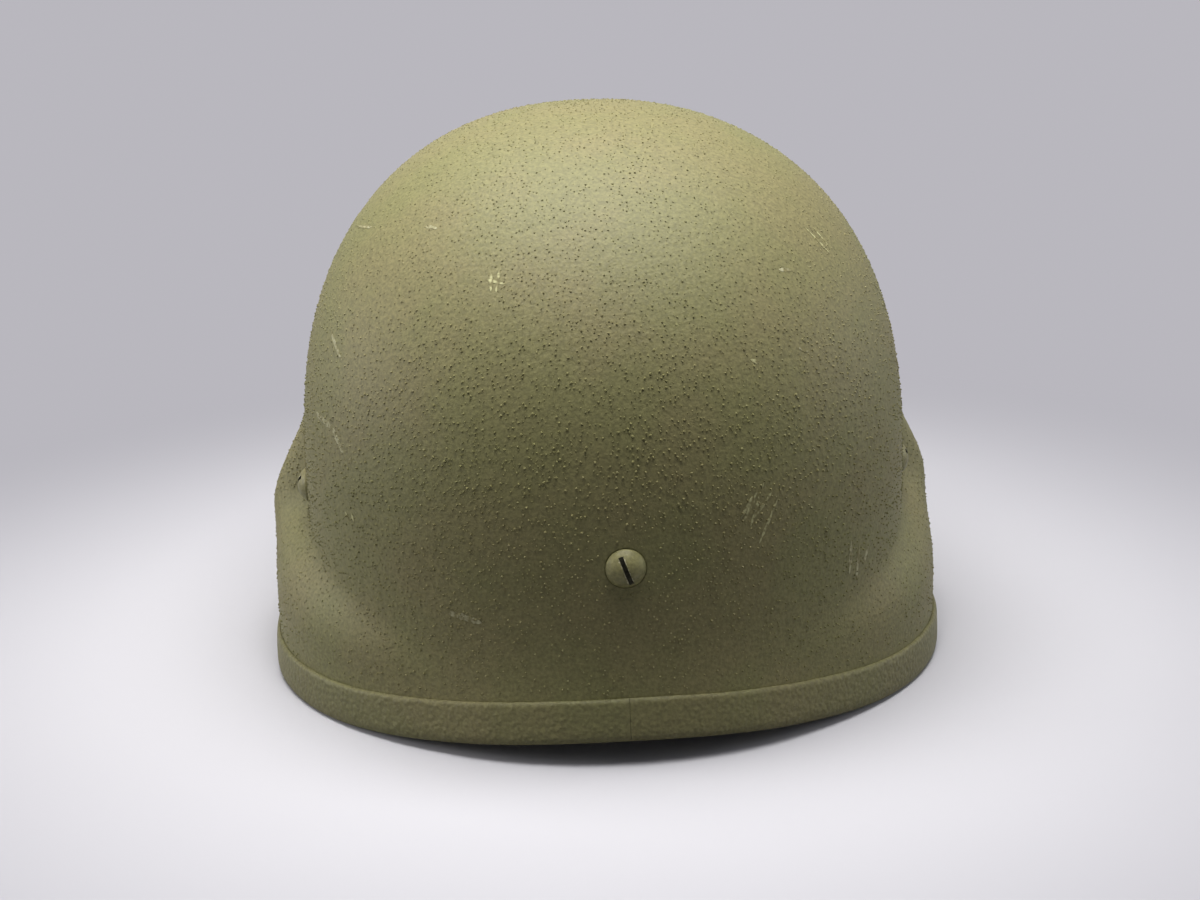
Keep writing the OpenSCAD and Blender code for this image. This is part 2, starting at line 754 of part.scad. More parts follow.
shell();
edge_trim();
screw(0);  // screw_rear
screw(1);  // screw_left
screw(2);  // screw_right
screw(3);  // screw_front_left
screw(4);  // screw_front_right
post(0);  // post_rear
post(1);  // post_left
post(2);  // post_right
post(3);  // post_front_left
post(4);  // post_front_right
clip(0);  // clip_rear
clip(1);  // clip_left
clip(2);  // clip_right
clip(3);  // clip_front_left
clip(4);  // clip_front_right
suspension_band();
crown_strap(0, 1);  // crown_strap_front_left
crown_strap(0, -1);  // crown_strap_front_right
crown_strap(1, 1);  // crown_strap_side_left
crown_strap(1, -1);  // crown_strap_side_right
crown_strap(2, 1);  // crown_strap_rear_left
crown_strap(2, -1);  // crown_strap_rear_right
drawcord();
headband();
headband_closure();
headband_clip(head_clip_azimuths[0]);  // headband_clip_front_left
headband_clip(-head_clip_azimuths[0]);  // headband_clip_front_right
headband_clip(head_clip_azimuths[1]);  // headband_clip_side_left
headband_clip(-head_clip_azimuths[1]);  // headband_clip_side_right
headband_clip(head_clip_azimuths[2]);  // headband_clip_rear_left
headband_clip(-head_clip_azimuths[2]);  // headband_clip_rear_right
strap_anchor(1);  // strap_anchor_left
strap_anchor(-1);  // strap_anchor_right
strap_rivet(1);  // strap_rivet_left
strap_rivet(-1);  // strap_rivet_right
chin_webbing();
chin_cup();
buckle(1);  // buckle_left
buckle(-1);  // buckle_right
strap_keeper(1);  // strap_keeper_left
strap_keeper(-1);  // strap_keeper_right
snap_stud();
release_flap();
snap_cap();
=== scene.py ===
import math
import bpy
import numpy as np
from mathutils import Matrix, Vector, kdtree, noise


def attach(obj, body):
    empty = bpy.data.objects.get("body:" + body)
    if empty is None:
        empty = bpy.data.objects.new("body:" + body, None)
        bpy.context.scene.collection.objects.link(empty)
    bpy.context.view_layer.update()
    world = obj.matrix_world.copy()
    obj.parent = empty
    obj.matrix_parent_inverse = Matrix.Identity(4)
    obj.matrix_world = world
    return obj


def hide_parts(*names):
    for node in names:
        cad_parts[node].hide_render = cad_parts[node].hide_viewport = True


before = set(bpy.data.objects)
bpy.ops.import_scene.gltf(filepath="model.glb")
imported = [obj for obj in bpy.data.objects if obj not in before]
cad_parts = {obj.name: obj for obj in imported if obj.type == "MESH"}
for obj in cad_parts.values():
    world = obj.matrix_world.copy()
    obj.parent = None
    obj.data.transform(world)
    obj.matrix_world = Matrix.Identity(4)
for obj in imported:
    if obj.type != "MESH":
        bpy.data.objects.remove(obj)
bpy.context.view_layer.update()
scene = bpy.context.scene
scene.view_settings.view_transform = "Standard"

# Camera: behind the helmet, a little above it and slightly to one side. Its distance,
# lens and turns come from the outline of the shell, and the crown is a handsbreadth away.
camera_away = 0.600
camera_rise = math.radians(16.56)
camera_yaw = math.radians(3.70)
camera_roll = math.radians(-1.58)
camera_aim = Vector((-0.000645, 0, 0.06205))
camera_turn = Matrix.Rotation(camera_roll, 3, "Y").transposed() @ Matrix.Rotation(camera_yaw, 3, "Z")
camera_right = camera_turn.transposed() @ Vector((-1, 0, 0))
camera_up = camera_turn.transposed() @ Vector((0, -math.sin(camera_rise), math.cos(camera_rise)))
camera_back = camera_turn.transposed() @ Vector((0, math.cos(camera_rise), math.sin(camera_rise)))
camera = bpy.data.objects.new("camera", bpy.data.cameras.new("camera"))
camera.data.sensor_width = 36
camera.data.lens = 47.205
camera.data.clip_start = 0.01
camera_axes = Matrix((camera_right, camera_up, camera_back)).transposed()
camera.matrix_world = Matrix.LocRotScale(camera_aim + camera_away * camera_back, camera_axes.to_quaternion(), None)
scene.collection.objects.link(camera)
scene.camera = camera


# Finish: the paints, cloths and steels below are built with it. A finish reads the place
# on the piece in metres, so its grain has the real size, and follows the piece.
class Nodes:
    def __init__(self, holder):
        holder.use_nodes = True
        self.tree = holder.node_tree

    def node(self, kind, settings, **inputs):
        made = self.tree.nodes.new(kind)
        for setting, value in settings.items():
            setattr(made, setting, value)
        for socket, value in inputs.items():
            self.feed(made.inputs[socket.replace("_", " ")], value)
        return made

    def feed(self, socket, value):
        if isinstance(value, bpy.types.NodeSocket):
            self.tree.links.new(value, socket)
        else:
            socket.default_value = value

    def sum(self, how, one, other):
        made = self.node("ShaderNodeMath", {"operation": how})
        self.feed(made.inputs[0], one)
        self.feed(made.inputs[1], other)
        return made.outputs[0]

    def seen(self):
        """1 for the rays that show a thing to the eye, straight or mirrored, and 0 for its light."""
        rays = self.node("ShaderNodeLightPath", {}).outputs
        mirrored = self.sum("MAXIMUM", rays["Is Glossy Ray"], rays["Is Transmission Ray"])
        return self.sum("MAXIMUM", rays["Is Camera Ray"], mirrored)

    def blend(self, share, one, other):
        made = self.node("ShaderNodeMixShader", {}, Fac=share)
        self.feed(made.inputs[1], one.outputs[0])
        self.feed(made.inputs[2], other.outputs[0])
        return made.outputs[0]


class Finish(Nodes):
    def __init__(self, name, roughness, **sockets):
        self.material = bpy.data.materials.new(name)
        super().__init__(self.material)
        self.shader = self.tree.nodes["Principled BSDF"]
        for socket, value in {"Roughness": roughness, **sockets}.items():
            self.shader.inputs[socket.replace("_", " ")].default_value = value
        self.place = self.node("ShaderNodeTexCoord", {}).outputs["Object"]

    def cloud(self, size, detail=2.0):
        return self.node("ShaderNodeTexNoise", {}, Vector=self.place, Scale=1 / size, Detail=detail).outputs["Fac"]

    def waves(self, direction, scale, **inputs):
        inputs.setdefault("Vector", self.place)
        return self.node("ShaderNodeTexWave", {"bands_direction": direction}, Scale=scale, **inputs).outputs["Fac"]

    def cells(self, feature, scale, **inputs):
        inputs.setdefault("Vector", self.place)
        return self.node("ShaderNodeTexVoronoi", {"feature": feature}, Scale=scale, **inputs).outputs["Distance"]

    def stretched(self, scale):
        return self.node("ShaderNodeMapping", {}, Vector=self.place, Scale=scale).outputs["Vector"]

    def steps(self, value, *stops):
        made = self.node("ShaderNodeValToRGB", {}, Fac=value)
        ramp = made.color_ramp
        while len(ramp.elements) < len(stops):
            ramp.elements.new(0.5)
        for element, (at, colour) in zip(ramp.elements, stops):
            element.position = at
            element.color = (*colour, 1)
        return made.outputs["Color"]

    def level(self, value, low, high):
        return self.node("ShaderNodeMapRange", {}, Value=value, From_Min=low, From_Max=high).outputs["Result"]

    def mixed(self, share, one, other, how="MIX"):
        made = self.node("ShaderNodeMix", {"data_type": "RGBA", "blend_type": how})
        self.feed(made.inputs["Factor"], share)
        self.feed(made.inputs[6], (*one, 1) if isinstance(one, tuple) else one)
        self.feed(made.inputs[7], (*other, 1) if isinstance(other, tuple) else other)
        return made.outputs[2]

    def relief(self, *layers):
        normal = None
        for height, depth, strength in layers:
            made = self.node("ShaderNodeBump", {}, Height=height, Distance=depth, Strength=strength)
            if normal:
                self.feed(made.inputs["Normal"], normal)
            normal = made.outputs["Normal"]
        self.feed(self.shader.inputs["Normal"], normal)

    def colour(self, output):
        self.feed(self.shader.inputs["Base Color"], output)

    def gloss(self, output):
        self.feed(self.shader.inputs["Roughness"], output)


# Floor: a plain pale sheet under the helmet that keeps its shadow, and a paler grey wall
# of air behind it. Neither belongs to the helmet.
floor_colour = (0.560, 0.555, 0.600)
wall_colour = (0.485, 0.475, 0.515)
floor_shade = (0.118, 0.113, 0.108)
fade_from, fade_to = 0.14, 0.40
bpy.ops.object.select_all(action="DESELECT")
bpy.ops.mesh.primitive_plane_add(size=60)
floor = bpy.context.object
floor.name = "floor"
floor_paper = Finish("floor_paper", 0.9)
away = floor_paper.node("ShaderNodeVectorMath", {"operation": "LENGTH"})
floor_paper.feed(away.inputs[0], floor_paper.place)
far_share = floor_paper.node("ShaderNodeMapRange", {"interpolation_type": "SMOOTHSTEP"}, Value=away.outputs["Value"],
                             From_Min=fade_from, From_Max=fade_to).outputs["Result"]
seen = floor_paper.seen()
floor_paper.colour(floor_paper.mixed(seen, floor_shade, floor_colour))
distance = floor_paper.node("ShaderNodeEmission", {}, Color=(*wall_colour, 1))
faded = floor_paper.blend(floor_paper.sum("MULTIPLY", far_share, seen), floor_paper.shader, distance)
floor_paper.feed(floor_paper.tree.nodes["Material Output"].inputs["Surface"], faded)
floor.data.materials.append(floor_paper.material)

world = bpy.data.worlds.new("studio_air")
air = Nodes(world)
air_light = air.tree.nodes["Background"]
air_light.inputs["Color"].default_value = (0.92, 0.95, 1.0, 1)
air_light.inputs["Strength"].default_value = 0.13
air_wall = air.node("ShaderNodeBackground", {}, Color=(*wall_colour, 1))
air.feed(air.tree.nodes["World Output"].inputs["Surface"], air.blend(air.seen(), air_light, air_wall))
scene.world = world


# Lamps: one large soft box overhead and a little beyond the crown, and two weaker ones
# beside the helmet, so the dome is bright on top and falls into shade towards the nape.
def soft_box(name, at, aim, width, depth, watts, tint):
    lamp = bpy.data.lights.new(name, "AREA")
    lamp.shape = "RECTANGLE"
    lamp.size = width
    lamp.size_y = depth
    lamp.energy = watts
    lamp.color = tint
    holder = bpy.data.objects.new(name, lamp)
    holder.location = at
    holder.rotation_euler = (Vector(aim) - Vector(at)).to_track_quat("-Z", "Y").to_euler()
    scene.collection.objects.link(holder)


soft_box("overhead_box", (0.02, 0.085, 0.66), (0, 0.03, 0.1), 0.55, 0.40, 6.8, (1.0, 0.985, 0.95))
soft_box("left_box", (0.95, 0.0, 0.30), (0.0, 0.0, 0.08), 0.4, 0.3, 3.7, (1.0, 0.99, 0.97))
soft_box("right_box", (-0.95, 0.0, 0.30), (0.0, 0.0, 0.08), 0.4, 0.3, 2.1, (0.97, 0.985, 1.0))

# Shell: one pressed shell of aramid cloth and resin, 9 mm thick. It bulges over the ears,
# flares at the brim and the nape, and is sprayed with a matte coat that holds sand.
mm = 0.001
shell_height = 193.0
half_width = 104.5
front_reach = 163.0
rear_reach = 90.0
wall = 9.0
shoulder = 61.0
brim_height = 42.0
nape_height = 8.0
flare_height = 34.0
brim_flare, side_flare, nape_flare = 13.0, 0.5, 4.0
ear_bulge = 16.0
crown_forward = 26.0
trim_thick = 1.8
trim_height = 13.5
widest_y = (front_reach + brim_flare - rear_reach - nape_flare) / 2
front_power, rear_power = 2.3, 2.0


def eased(value, start, end):
    share = np.clip((value - start) / (end - start), 0, 1)
    return share * share * (3 - 2 * share)


def rim_height(turn):
    turn = np.abs(turn)
    return brim_height * (1 - eased(turn, 34, 58)) + nape_height * eased(turn, 110, 180)


def plan_radius(turn, inset):
    front = np.abs(turn) < 90
    power = np.where(front, front_power, rear_power)
    reach = np.where(front, front_reach, rear_reach) - inset
    angle = np.radians(turn)
    across = np.abs(np.sin(angle)) / (half_width - inset)
    along = np.abs(np.cos(angle)) / reach
    return (across ** power + along ** power) ** (-1 / power)


def crown_share(z, inset):
    return np.clip((z - shoulder) / (shell_height - inset - shoulder), 0, 0.99999)


def ear_radius(turn, z):
    lean = eased(z, 25, 62)
    turn = np.abs(turn)
    behind = eased(turn, 74 + 8 * lean, 148 - 58 * lean)
    return ear_bulge * eased(turn, 38, 51) * (1 - behind) * (1 - eased(z, 52.5, 99))


def flare_radius(turn, z):
    turn_size = np.abs(turn)
    brim = brim_flare + (side_flare - brim_flare) * eased(turn_size, 25, 60)
    nape = side_flare + (nape_flare - side_flare) * eased(turn_size, 95, 155)
    out = np.where(turn_size < 90, brim, nape)
    return out * np.clip(1 - (z - rim_height(turn)) / flare_height, 0, 1) ** 2


def skin(turn, z, inset=0.0, out=0.0):
    turn, z = np.broadcast_arrays(np.asarray(turn, float), np.asarray(z, float))
    share = crown_share(z, inset)
    radius = plan_radius(turn, inset) * (1 - share ** 2.9) ** (1 / 2.2)
    radius = radius + ear_radius(turn, z) + flare_radius(turn, z) + out
    angle = np.radians(turn)
    y = widest_y - crown_forward * share ** 2 - radius * np.cos(angle)
    return np.stack([radius * np.sin(angle), y, z], axis=-1) * mm


def rim_slope(turn):
    return (rim_height(turn + 1) - rim_height(turn - 1)) / (math.pi / 90 * plan_radius(turn, 0))


def above_rim(turn, up):
    return rim_height(turn) + up * np.sqrt(1 + rim_slope(turn) ** 2)


def points_of(piece):
    found = np.empty(len(piece.data.vertices) * 3)
    piece.data.vertices.foreach_get("co", found)
    return found.reshape(-1, 3)


def set_points(piece, places):
    piece.data.vertices.foreach_set("co", np.asarray(places, float).ravel())
    piece.data.update()


def triangles_of(piece):
    """The corner places of a piece's triangles, sorted, because its faces change places from run to run."""
    corners = []
    for face in piece.data.polygons:
        ring = list(face.vertices)
        first = ring.index(min(ring))
        ring = ring[first:] + ring[:first]
        corners += [(ring[0], one, other) for one, other in zip(ring[1:], ring[2:])]
    return points_of(piece)[np.array(sorted(corners))]


def added(add, name, **settings):
    """Runs one of the add operators by itself and gives the piece that it made."""
    bpy.ops.object.select_all(action="DESELECT")
    add(**settings)
    bpy.context.object.name = name
    return bpy.context.object


def pick(*pieces):
    """Selects these pieces and no others, and makes the first one active."""
    bpy.ops.object.select_all(action="DESELECT")
    for piece in pieces:
        piece.select_set(True)
    bpy.context.view_layer.objects.active = pieces[0]


def face_out():
    bpy.ops.object.mode_set(mode="EDIT")
    bpy.ops.mesh.select_all(action="SELECT")
    bpy.ops.mesh.normals_make_consistent(inside=False)
    bpy.ops.object.mode_set(mode="OBJECT")


def modify(piece, kind, **settings):
    """Gives the piece one modifier and applies it."""
    pick(piece)
    made = piece.modifiers.new(kind.lower(), kind)
    for setting, value in settings.items():
        setattr(made, setting, value)
    bpy.ops.object.modifier_apply(modifier=made.name)


def dress(piece, *materials):
    piece.data.materials.clear()
    for material in materials:
        piece.data.materials.append(material)


def press_skin(name, inset):
    piece = added(bpy.ops.mesh.primitive_uv_sphere_add, name, segments=180, ring_count=144, radius=1)
    bpy.ops.object.mode_set(mode="EDIT")
    bpy.ops.mesh.select_all(action="SELECT")
    bpy.ops.mesh.bisect(plane_co=(0, 0, 0), plane_no=(0, 0, 1), clear_inner=True)
    bpy.ops.object.mode_set(mode="OBJECT")
    ball = points_of(piece)
    turn = np.degrees(np.arctan2(ball[:, 0], -ball[:, 1]))
    low = above_rim(turn, trim_thick)
    z = low + (shell_height - inset - low) * np.clip(ball[:, 2], 0, 1)
    pressed = skin(turn, z, inset)
    pressed[ball[:, 2] > 0.99999] = (0, (widest_y - crown_forward) * mm, (shell_height - inset) * mm)
    set_points(piece, pressed)
    return piece


shell = press_skin("helmet_shell", 0)
lining = press_skin("shell_inside", wall)
bpy.ops.object.mode_set(mode="EDIT")
bpy.ops.mesh.select_all(action="SELECT")
bpy.ops.mesh.flip_normals()
bpy.ops.object.mode_set(mode="OBJECT")
pick(shell, lining)
bpy.ops.object.join()
bpy.ops.object.mode_set(mode="EDIT")
bpy.ops.mesh.select_all(action="DESELECT")
bpy.ops.mesh.select_mode(type="EDGE")
bpy.ops.mesh.select_non_manifold()
bpy.ops.mesh.bridge_edge_loops()
bpy.ops.mesh.select_mode(type="VERT")
bpy.ops.object.mode_set(mode="OBJECT")
face_out()

# The five fixings: where each screw stands on the shell, the way it points, how far its
# seat is pressed in, and the turn of its slot.
screws = {
    "rear": (180, 63.5, 180, 0.5, 20),
    "left": (92.5, 68, 90, 0.9, -38),
    "right": (-92.5, 68, -90, 0.9, 42),
    "front_left": (28, 86, 50.73, 0.5, 65),
    "front_right": (-28, 86, -50.73, 0.5, 110),
}
head_radius = 6.1 * mm


def seat_of(screw):
    turn, z, way, sink, slot = screws[screw]
    out = Vector((math.sin(math.radians(way)), -math.cos(math.radians(way)), 0))
    return Vector(skin(turn, z)) - out * sink * mm, out


def cut_away(piece, tool):
    modify(piece, "BOOLEAN", object=tool, solver="EXACT")
    bpy.data.objects.remove(tool)


def drill(piece, radius, inner, outer):
    for screw in screws:
        seat, out = seat_of(screw)
        cut_away(piece, added(bpy.ops.mesh.primitive_cylinder_add, "drill_bit", vertices=48, radius=radius,
                              depth=outer - inner, location=seat + out * (inner + outer) / 2,
                              rotation=out.to_track_quat("Z", "Y").to_euler()))


# The sand is sown on the skin as it is before the holes are cut, because cutting lists its
# points in an order that differs from run to run, and the grains have to lie still.
whole_skin = triangles_of(shell)
seat_play, hole_radius = 0.4 * mm, 3.5 * mm
drill(shell, head_radius + seat_play, 0, 8 * mm)
drill(shell, hole_radius, -24 * mm, 4 * mm)
bpy.ops.object.shade_smooth_by_angle(angle=math.radians(40))

coat_brown = (0.191, 0.171, 0.073)
coat_green = (0.178, 0.170, 0.067)


# light scales the coat's brightness. Shell, sand, trim and screws carry one paint, so scales other than 1 are painted
# light and shade.
def olive_coat(name, roughness, light=1.0, grit=1.0):
    coat = Finish(name, roughness, Specular_IOR_Level=0.46)
    broad = coat.steps(coat.cloud(0.034, 4), (0.38, coat_green), (0.60, coat_brown))
    patch = coat.level(coat.cloud(0.009, 3), 0.50, 0.75)
    patched = coat.mixed(coat.sum("MULTIPLY", patch, 0.35), broad, coat_green)
    fine = coat.steps(coat.cloud(0.0011, 3), (0.34, (0.80 * light,) * 3), (0.64, (1.14 * light,) * 3))
    coat.colour(coat.mixed(1.0, patched, fine, "MULTIPLY"))
    bumps = coat.sum("SUBTRACT", 1.0, coat.cells("SMOOTH_F1", 620, Smoothness=0.7))
    coat.relief((coat.cloud(0.0042, 2), 0.00045, 0.30), (bumps, 0.0003 * grit, 0.40 * grit),
                (coat.cloud(0.0008, 3), 0.0002, 0.6))
    return coat


shell_coat = olive_coat("sanded_olive_coat", 0.62, 1.0, 0.85)
dress(shell, shell_coat.material)
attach(shell, "helmet")
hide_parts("shell")

# Sand in the coat: thousands of single grains, 0.5 to 1 mm across, that stand half out
# of the paint. One grain is shaped from a cone, and each place on the shell gets a copy.
grain_count = 36000
grain_apart = 1.02 * mm
chance = np.random.default_rng(41)
grain_smallest, grain_largest = 0.46, 0.98
grain_out = 0.30
screw_clear = 8.2 * mm


def pattern_of(add, **settings):
    """The points and faces of a small shape, whose copies make a piece."""
    piece = added(add, "pattern", **settings)
    points, faces = points_of(piece), [list(face.vertices) for face in piece.data.polygons]
    bpy.data.objects.remove(piece)
    return points, faces


def scattered(name, copies, faces):
    """A piece made of copies of one shape. Each row of copies holds the points of one."""
    per = copies.shape[1]
    mesh = bpy.data.meshes.new(name)
    mesh.from_pydata(copies.reshape(-1, 3).tolist(), [],
                     [[i * per + k for k in face] for i in range(len(copies)) for face in faces])
    piece = bpy.data.objects.new(name, mesh)
    scene.collection.objects.link(piece)
    return piece


def unit(rows):
    return rows / np.linalg.norm(rows, axis=-1, keepdims=True)


grain_points, grain_faces = pattern_of(bpy.ops.mesh.primitive_cone_add, vertices=5, radius1=0.5, radius2=0.225,
                                       depth=1.0, end_fill_type="NGON")


def sow(places, count, keep):
    normals = np.cross(places[:, 1] - places[:, 0], places[:, 2] - places[:, 0])
    areas = np.linalg.norm(normals, axis=1) / 2
    middles = places.mean(axis=1)
    outward = np.einsum("ij,ij->i", normals, middles - np.array([0, widest_y * mm, 0.05])) > 0
    weights = areas * outward
    found_places, found_normals = [], []
    while sum(len(f) for f in found_places) < count:
        picked = chance.choice(len(areas), count, p=weights / weights.sum())
        one, two = chance.random(count), chance.random(count)
        swap = one + two > 1
        one, two = np.where(swap, 1 - one, one), np.where(swap, 1 - two, two)
        corner = places[picked]
        spots = (corner[:, 0] + one[:, None] * (corner[:, 1] - corner[:, 0])
                 + two[:, None] * (corner[:, 2] - corner[:, 0]))
        kept = chance.random(count) < keep(spots)
        found_places.append(spots[kept])
        found_normals.append((normals[picked] / (2 * areas[picked, None]))[kept])
    spots, ways = np.concatenate(found_places)[:count], np.concatenate(found_normals)[:count]
    near = kdtree.KDTree(count)
    for k, spot in enumerate(spots):
        near.insert(spot, k)
    near.balance()
    alone = np.ones(count, bool)
    for k, spot in enumerate(spots):
        alone[k] = not any(alone[other] for _, other, _ in near.find_range(spot, grain_apart) if other < k)
    return spots[alone], ways[alone]


def sand_share(spots):
    turn = np.degrees(np.arctan2(spots[:, 0], widest_y * mm - spots[:, 1]))
    height = spots[:, 2] / mm
    above = (height - rim_height(turn) - trim_height) / 40
    share = np.clip(0.28 + 0.80 * above, 0.28, 1.0)
    share *= 1 - 0.30 * np.clip((height - 150) / 30, 0, 1)
    share[height < above_rim(turn, trim_height) + 0.8] = 0.0
    for screw in screws:
        seat, out = seat_of(screw)
        share[np.linalg.norm(spots - np.array(seat), axis=1) < screw_clear] = 0
    clump = np.array([noise.noise(Vector(spot) * 55) for spot in spots])
    return np.clip(share * (0.85 + 0.5 * clump), 0, 1)


def sand_piece(name, spots, normals):
    total = len(spots)
    size = (grain_smallest + (grain_largest - grain_smallest) * chance.random(total) ** 1.6) * mm
    size *= 1 + 0.14 * np.clip(1 - np.abs(spots[:, 2] / mm - 95) / 45, 0, 1)
    height = size * chance.uniform(0.55, 0.90, total)
    height *= 1.08 - 0.50 * np.clip(normals[:, 2] * 1.6, 0, 1) - 0.28 * np.abs(normals[:, 0])
    spin = chance.uniform(0, 2 * math.pi, total)
    side = unit(np.cross(normals, (0.31, 0.17, 0.93)))
    other = np.cross(normals, side)
    u = side * np.cos(spin)[:, None] + other * np.sin(spin)[:, None]
    v = np.cross(normals, u) * chance.uniform(0.75, 1.15, total)[:, None]
    tilt = chance.normal(0, 0.08, (total, 2))
    up = normals + u * tilt[:, :1] + v * tilt[:, 1:]
    x, y, z = grain_points.T[:, None, :, None]
    wide, high = size[:, None, None], height[:, None, None]
    copies = (spots[:, None] + u[:, None] * (x * wide) + v[:, None] * (y * wide)
              + up[:, None] * ((z + grain_out) * high))
    return scattered(name, copies, grain_faces)


sand_spots, sand_normals = sow(whole_skin, grain_count, sand_share)
# Painted light: the grains' coat is 8% lighter than the shell's and stands in for their lit tops.
sand_coat = olive_coat("coat_over_sand", 0.60, 1.08)
left_half, rear_half = sand_spots[:, 0] >= 0, sand_spots[:, 1] >= 0
for part, here in (("rear_left", rear_half & left_half), ("rear_right", rear_half & ~left_half),
                   ("front_left", ~rear_half & left_half), ("front_right", ~rear_half & ~left_half)):
    sand = sand_piece("coat_sand_" + part, sand_spots[here], sand_normals[here])
    dress(sand, sand_coat.material)
    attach(sand, "helmet")

# Edge trim: a moulded rubber channel glued over the raw edge of the laminate and painted
# with the shell. Its ends butt at the nape, and a thin lip feathers its upper edge.
trim_gap = 0.12
trim_profile = [
    (0, 0.35, 1.05), (0, 1.1, 1.5), (0, 2.6, 1.75), (0, 4.5, 1.8), (0, 7.0, 1.78), (0, 9.2, 1.68), (0, 11.0, 1.6),
    (0, 12.0, 1.48), (0, 12.5, 1.42), (0, 12.95, 1.22), (0, 13.22, 0.98), (0, 13.42, 0.65), (0, 13.5, 0.3),
    (0, 13.4, 0.05),
    (0, 9.0, 0.04), (0, 4.0, 0.04), (0, 1.75, 0.04),
    (1, 1.75, 0.04), (1, 4.0, 0.04), (1, 9.0, 0.04), (1, 13.4, 0.05), (1, 13.5, 0.6), (1, 13.1, 1.4), (1, 12.0, 1.7),
    (1, 9.0, 1.8), (1, 5.0, 1.8), (1, 2.0, 1.7), (1, 0.8, 1.4), (1, 0.25, 0.9), (1, 0.0, 0.2), (0.7, 0.0, 0.0),
    (0.3, 0.0, 0.0), (0, 0.0, 0.2),
]
trim_turns = 256
lip_from = 9.0
trim = added(bpy.ops.mesh.primitive_torus_add, "edge_trim_rubber", major_segments=trim_turns,
             minor_segments=len(trim_profile))
seam_half = trim_gap / rear_reach * 90 / math.pi
trim_places = []
for step in range(trim_turns):
    turn = -180 + seam_half + (360 - 2 * seam_half) * step / (trim_turns - 1)
    wave = 0.22 * noise.noise(Vector((step * 0.11, 0, 0))) + 0.12 * noise.noise(Vector((step * 0.45, 3, 0)))
    for side, up, out in trim_profile:
        lift = up + wave * max(0.0, (up - lip_from) / (trim_height - lip_from))
        on_skin = above_rim(turn, max(lift, trim_thick))
        outer = skin(turn, on_skin, 0, out)
        inner = skin(turn, on_skin, wall, -out)
        place = outer + (inner - outer) * side
        place[2] = above_rim(turn, lift) * mm
        trim_places.append(place)
set_points(trim, trim_places)
bpy.ops.object.mode_set(mode="EDIT")
bpy.ops.mesh.select_all(action="DESELECT")
bpy.ops.object.mode_set(mode="OBJECT")
for face in trim.data.polygons:
    turns = [v // len(trim_profile) for v in face.vertices]
    face.select = min(turns) == 0 and max(turns) == trim_turns - 1
bpy.ops.object.mode_set(mode="EDIT")
bpy.ops.mesh.select_mode(type="FACE")
bpy.ops.mesh.delete(type="ONLY_FACE")
bpy.ops.mesh.select_mode(type="EDGE")
bpy.ops.mesh.select_all(action="SELECT")
bpy.ops.mesh.delete_loose(use_verts=False, use_edges=True, use_faces=False)
bpy.ops.mesh.select_all(action="DESELECT")
bpy.ops.mesh.select_non_manifold()
bpy.ops.mesh.fill_holes(sides=0)
bpy.ops.object.mode_set(mode="OBJECT")
face_out()
bpy.ops.object.shade_smooth_by_angle(angle=math.radians(50))
# Painted shade: the trim's coat is darker than the shell's and stands in for the shade on the low band.
dress(trim, olive_coat("painted_rubber", 0.60, 0.84, 1.5).material)
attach(trim, "helmet")
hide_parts("edge_trim")

# Screws: slotted domed brass screws, painted over with the shell, whose slots are burred
# by the screwdriver and painted near-black inside as shade. Each runs through the wall into its post nut.
screw_rise = 3.3 * mm
screw_edge = 1.0 * mm
shank_radius = 2.4 * mm
slot_wide = 1.4 * mm
slot_deep = 1.7 * mm
blade_high = 4 * mm
edge_round = 0.22 * mm
shank_deep, side_shank_deep = 9.6 * mm, 12.4 * mm
slot_floor = screw_rise + screw_edge - slot_deep
dome_radius = (head_radius ** 2 + screw_rise ** 2) / (2 * screw_rise)
# Painted light: the screws' coat is lighter than the shell's and stands in for the light on their domed heads from
# above.
screw_paint = olive_coat("screw_paint", 0.5, 1.12, 0.2)


def cloudy(name, roughness, size, detail, low, high, relief):
    """A finish of two colours in clouds, over a grain of its own."""
    finish = Finish(name, roughness)
    finish.colour(finish.steps(finish.cloud(size, detail), low, high))
    grain, depth, strength = relief
    finish.relief((finish.cloud(grain, detail), depth, strength))
    return finish.material


# Painted shade: a near-black finish on the slot's walls and floor that stands in for the shadow in the slot.
slot_painted_shade = cloudy("slot_painted_shade", 0.9, 0.0008, 3, (0.35, (0.020, 0.019, 0.010)), (0.7, (0.055, 0.052, 0.028)),
                   (0.0005, 0.0002, 0.8))
slot_burr = cloudy("slot_burr", 0.5, 0.0012, 3, (0.42, coat_green), (0.60, (0.50, 0.47, 0.31)),
                   (0.0004, 0.0001, 0.8))


def turn_screw(name, shank):
    piece = added(bpy.ops.mesh.primitive_uv_sphere_add, name, segments=64, ring_count=72, radius=dome_radius)
    bpy.ops.object.mode_set(mode="EDIT")
    bpy.ops.mesh.select_all(action="SELECT")
    bpy.ops.mesh.bisect(plane_co=(0, 0, dome_radius - screw_rise), plane_no=(0, 0, 1), clear_inner=True,
                        use_fill=True)
    bpy.ops.mesh.extrude_region_move(TRANSFORM_OT_translate={"value": (0, 0, -screw_edge)})
    bpy.ops.mesh.inset(thickness=head_radius - shank_radius)
    bpy.ops.mesh.extrude_region_move(TRANSFORM_OT_translate={"value": (0, 0, -shank)})
    bpy.ops.mesh.select_all(action="SELECT")
    bpy.ops.transform.translate(value=(0, 0, screw_rise + screw_edge - dome_radius))
    bpy.ops.object.mode_set(mode="OBJECT")
    face_out()
    blade = added(bpy.ops.mesh.primitive_cube_add, "blade", size=1, location=(0, 0, slot_floor + blade_high / 2))
    blade.scale = (slot_wide, 3 * head_radius, blade_high)
    cut_away(piece, blade)
    modify(piece, "BEVEL", width=edge_round, segments=3, limit_method="ANGLE", angle_limit=math.radians(35))
    bpy.ops.object.shade_smooth_by_angle(angle=math.radians(40))
    return piece


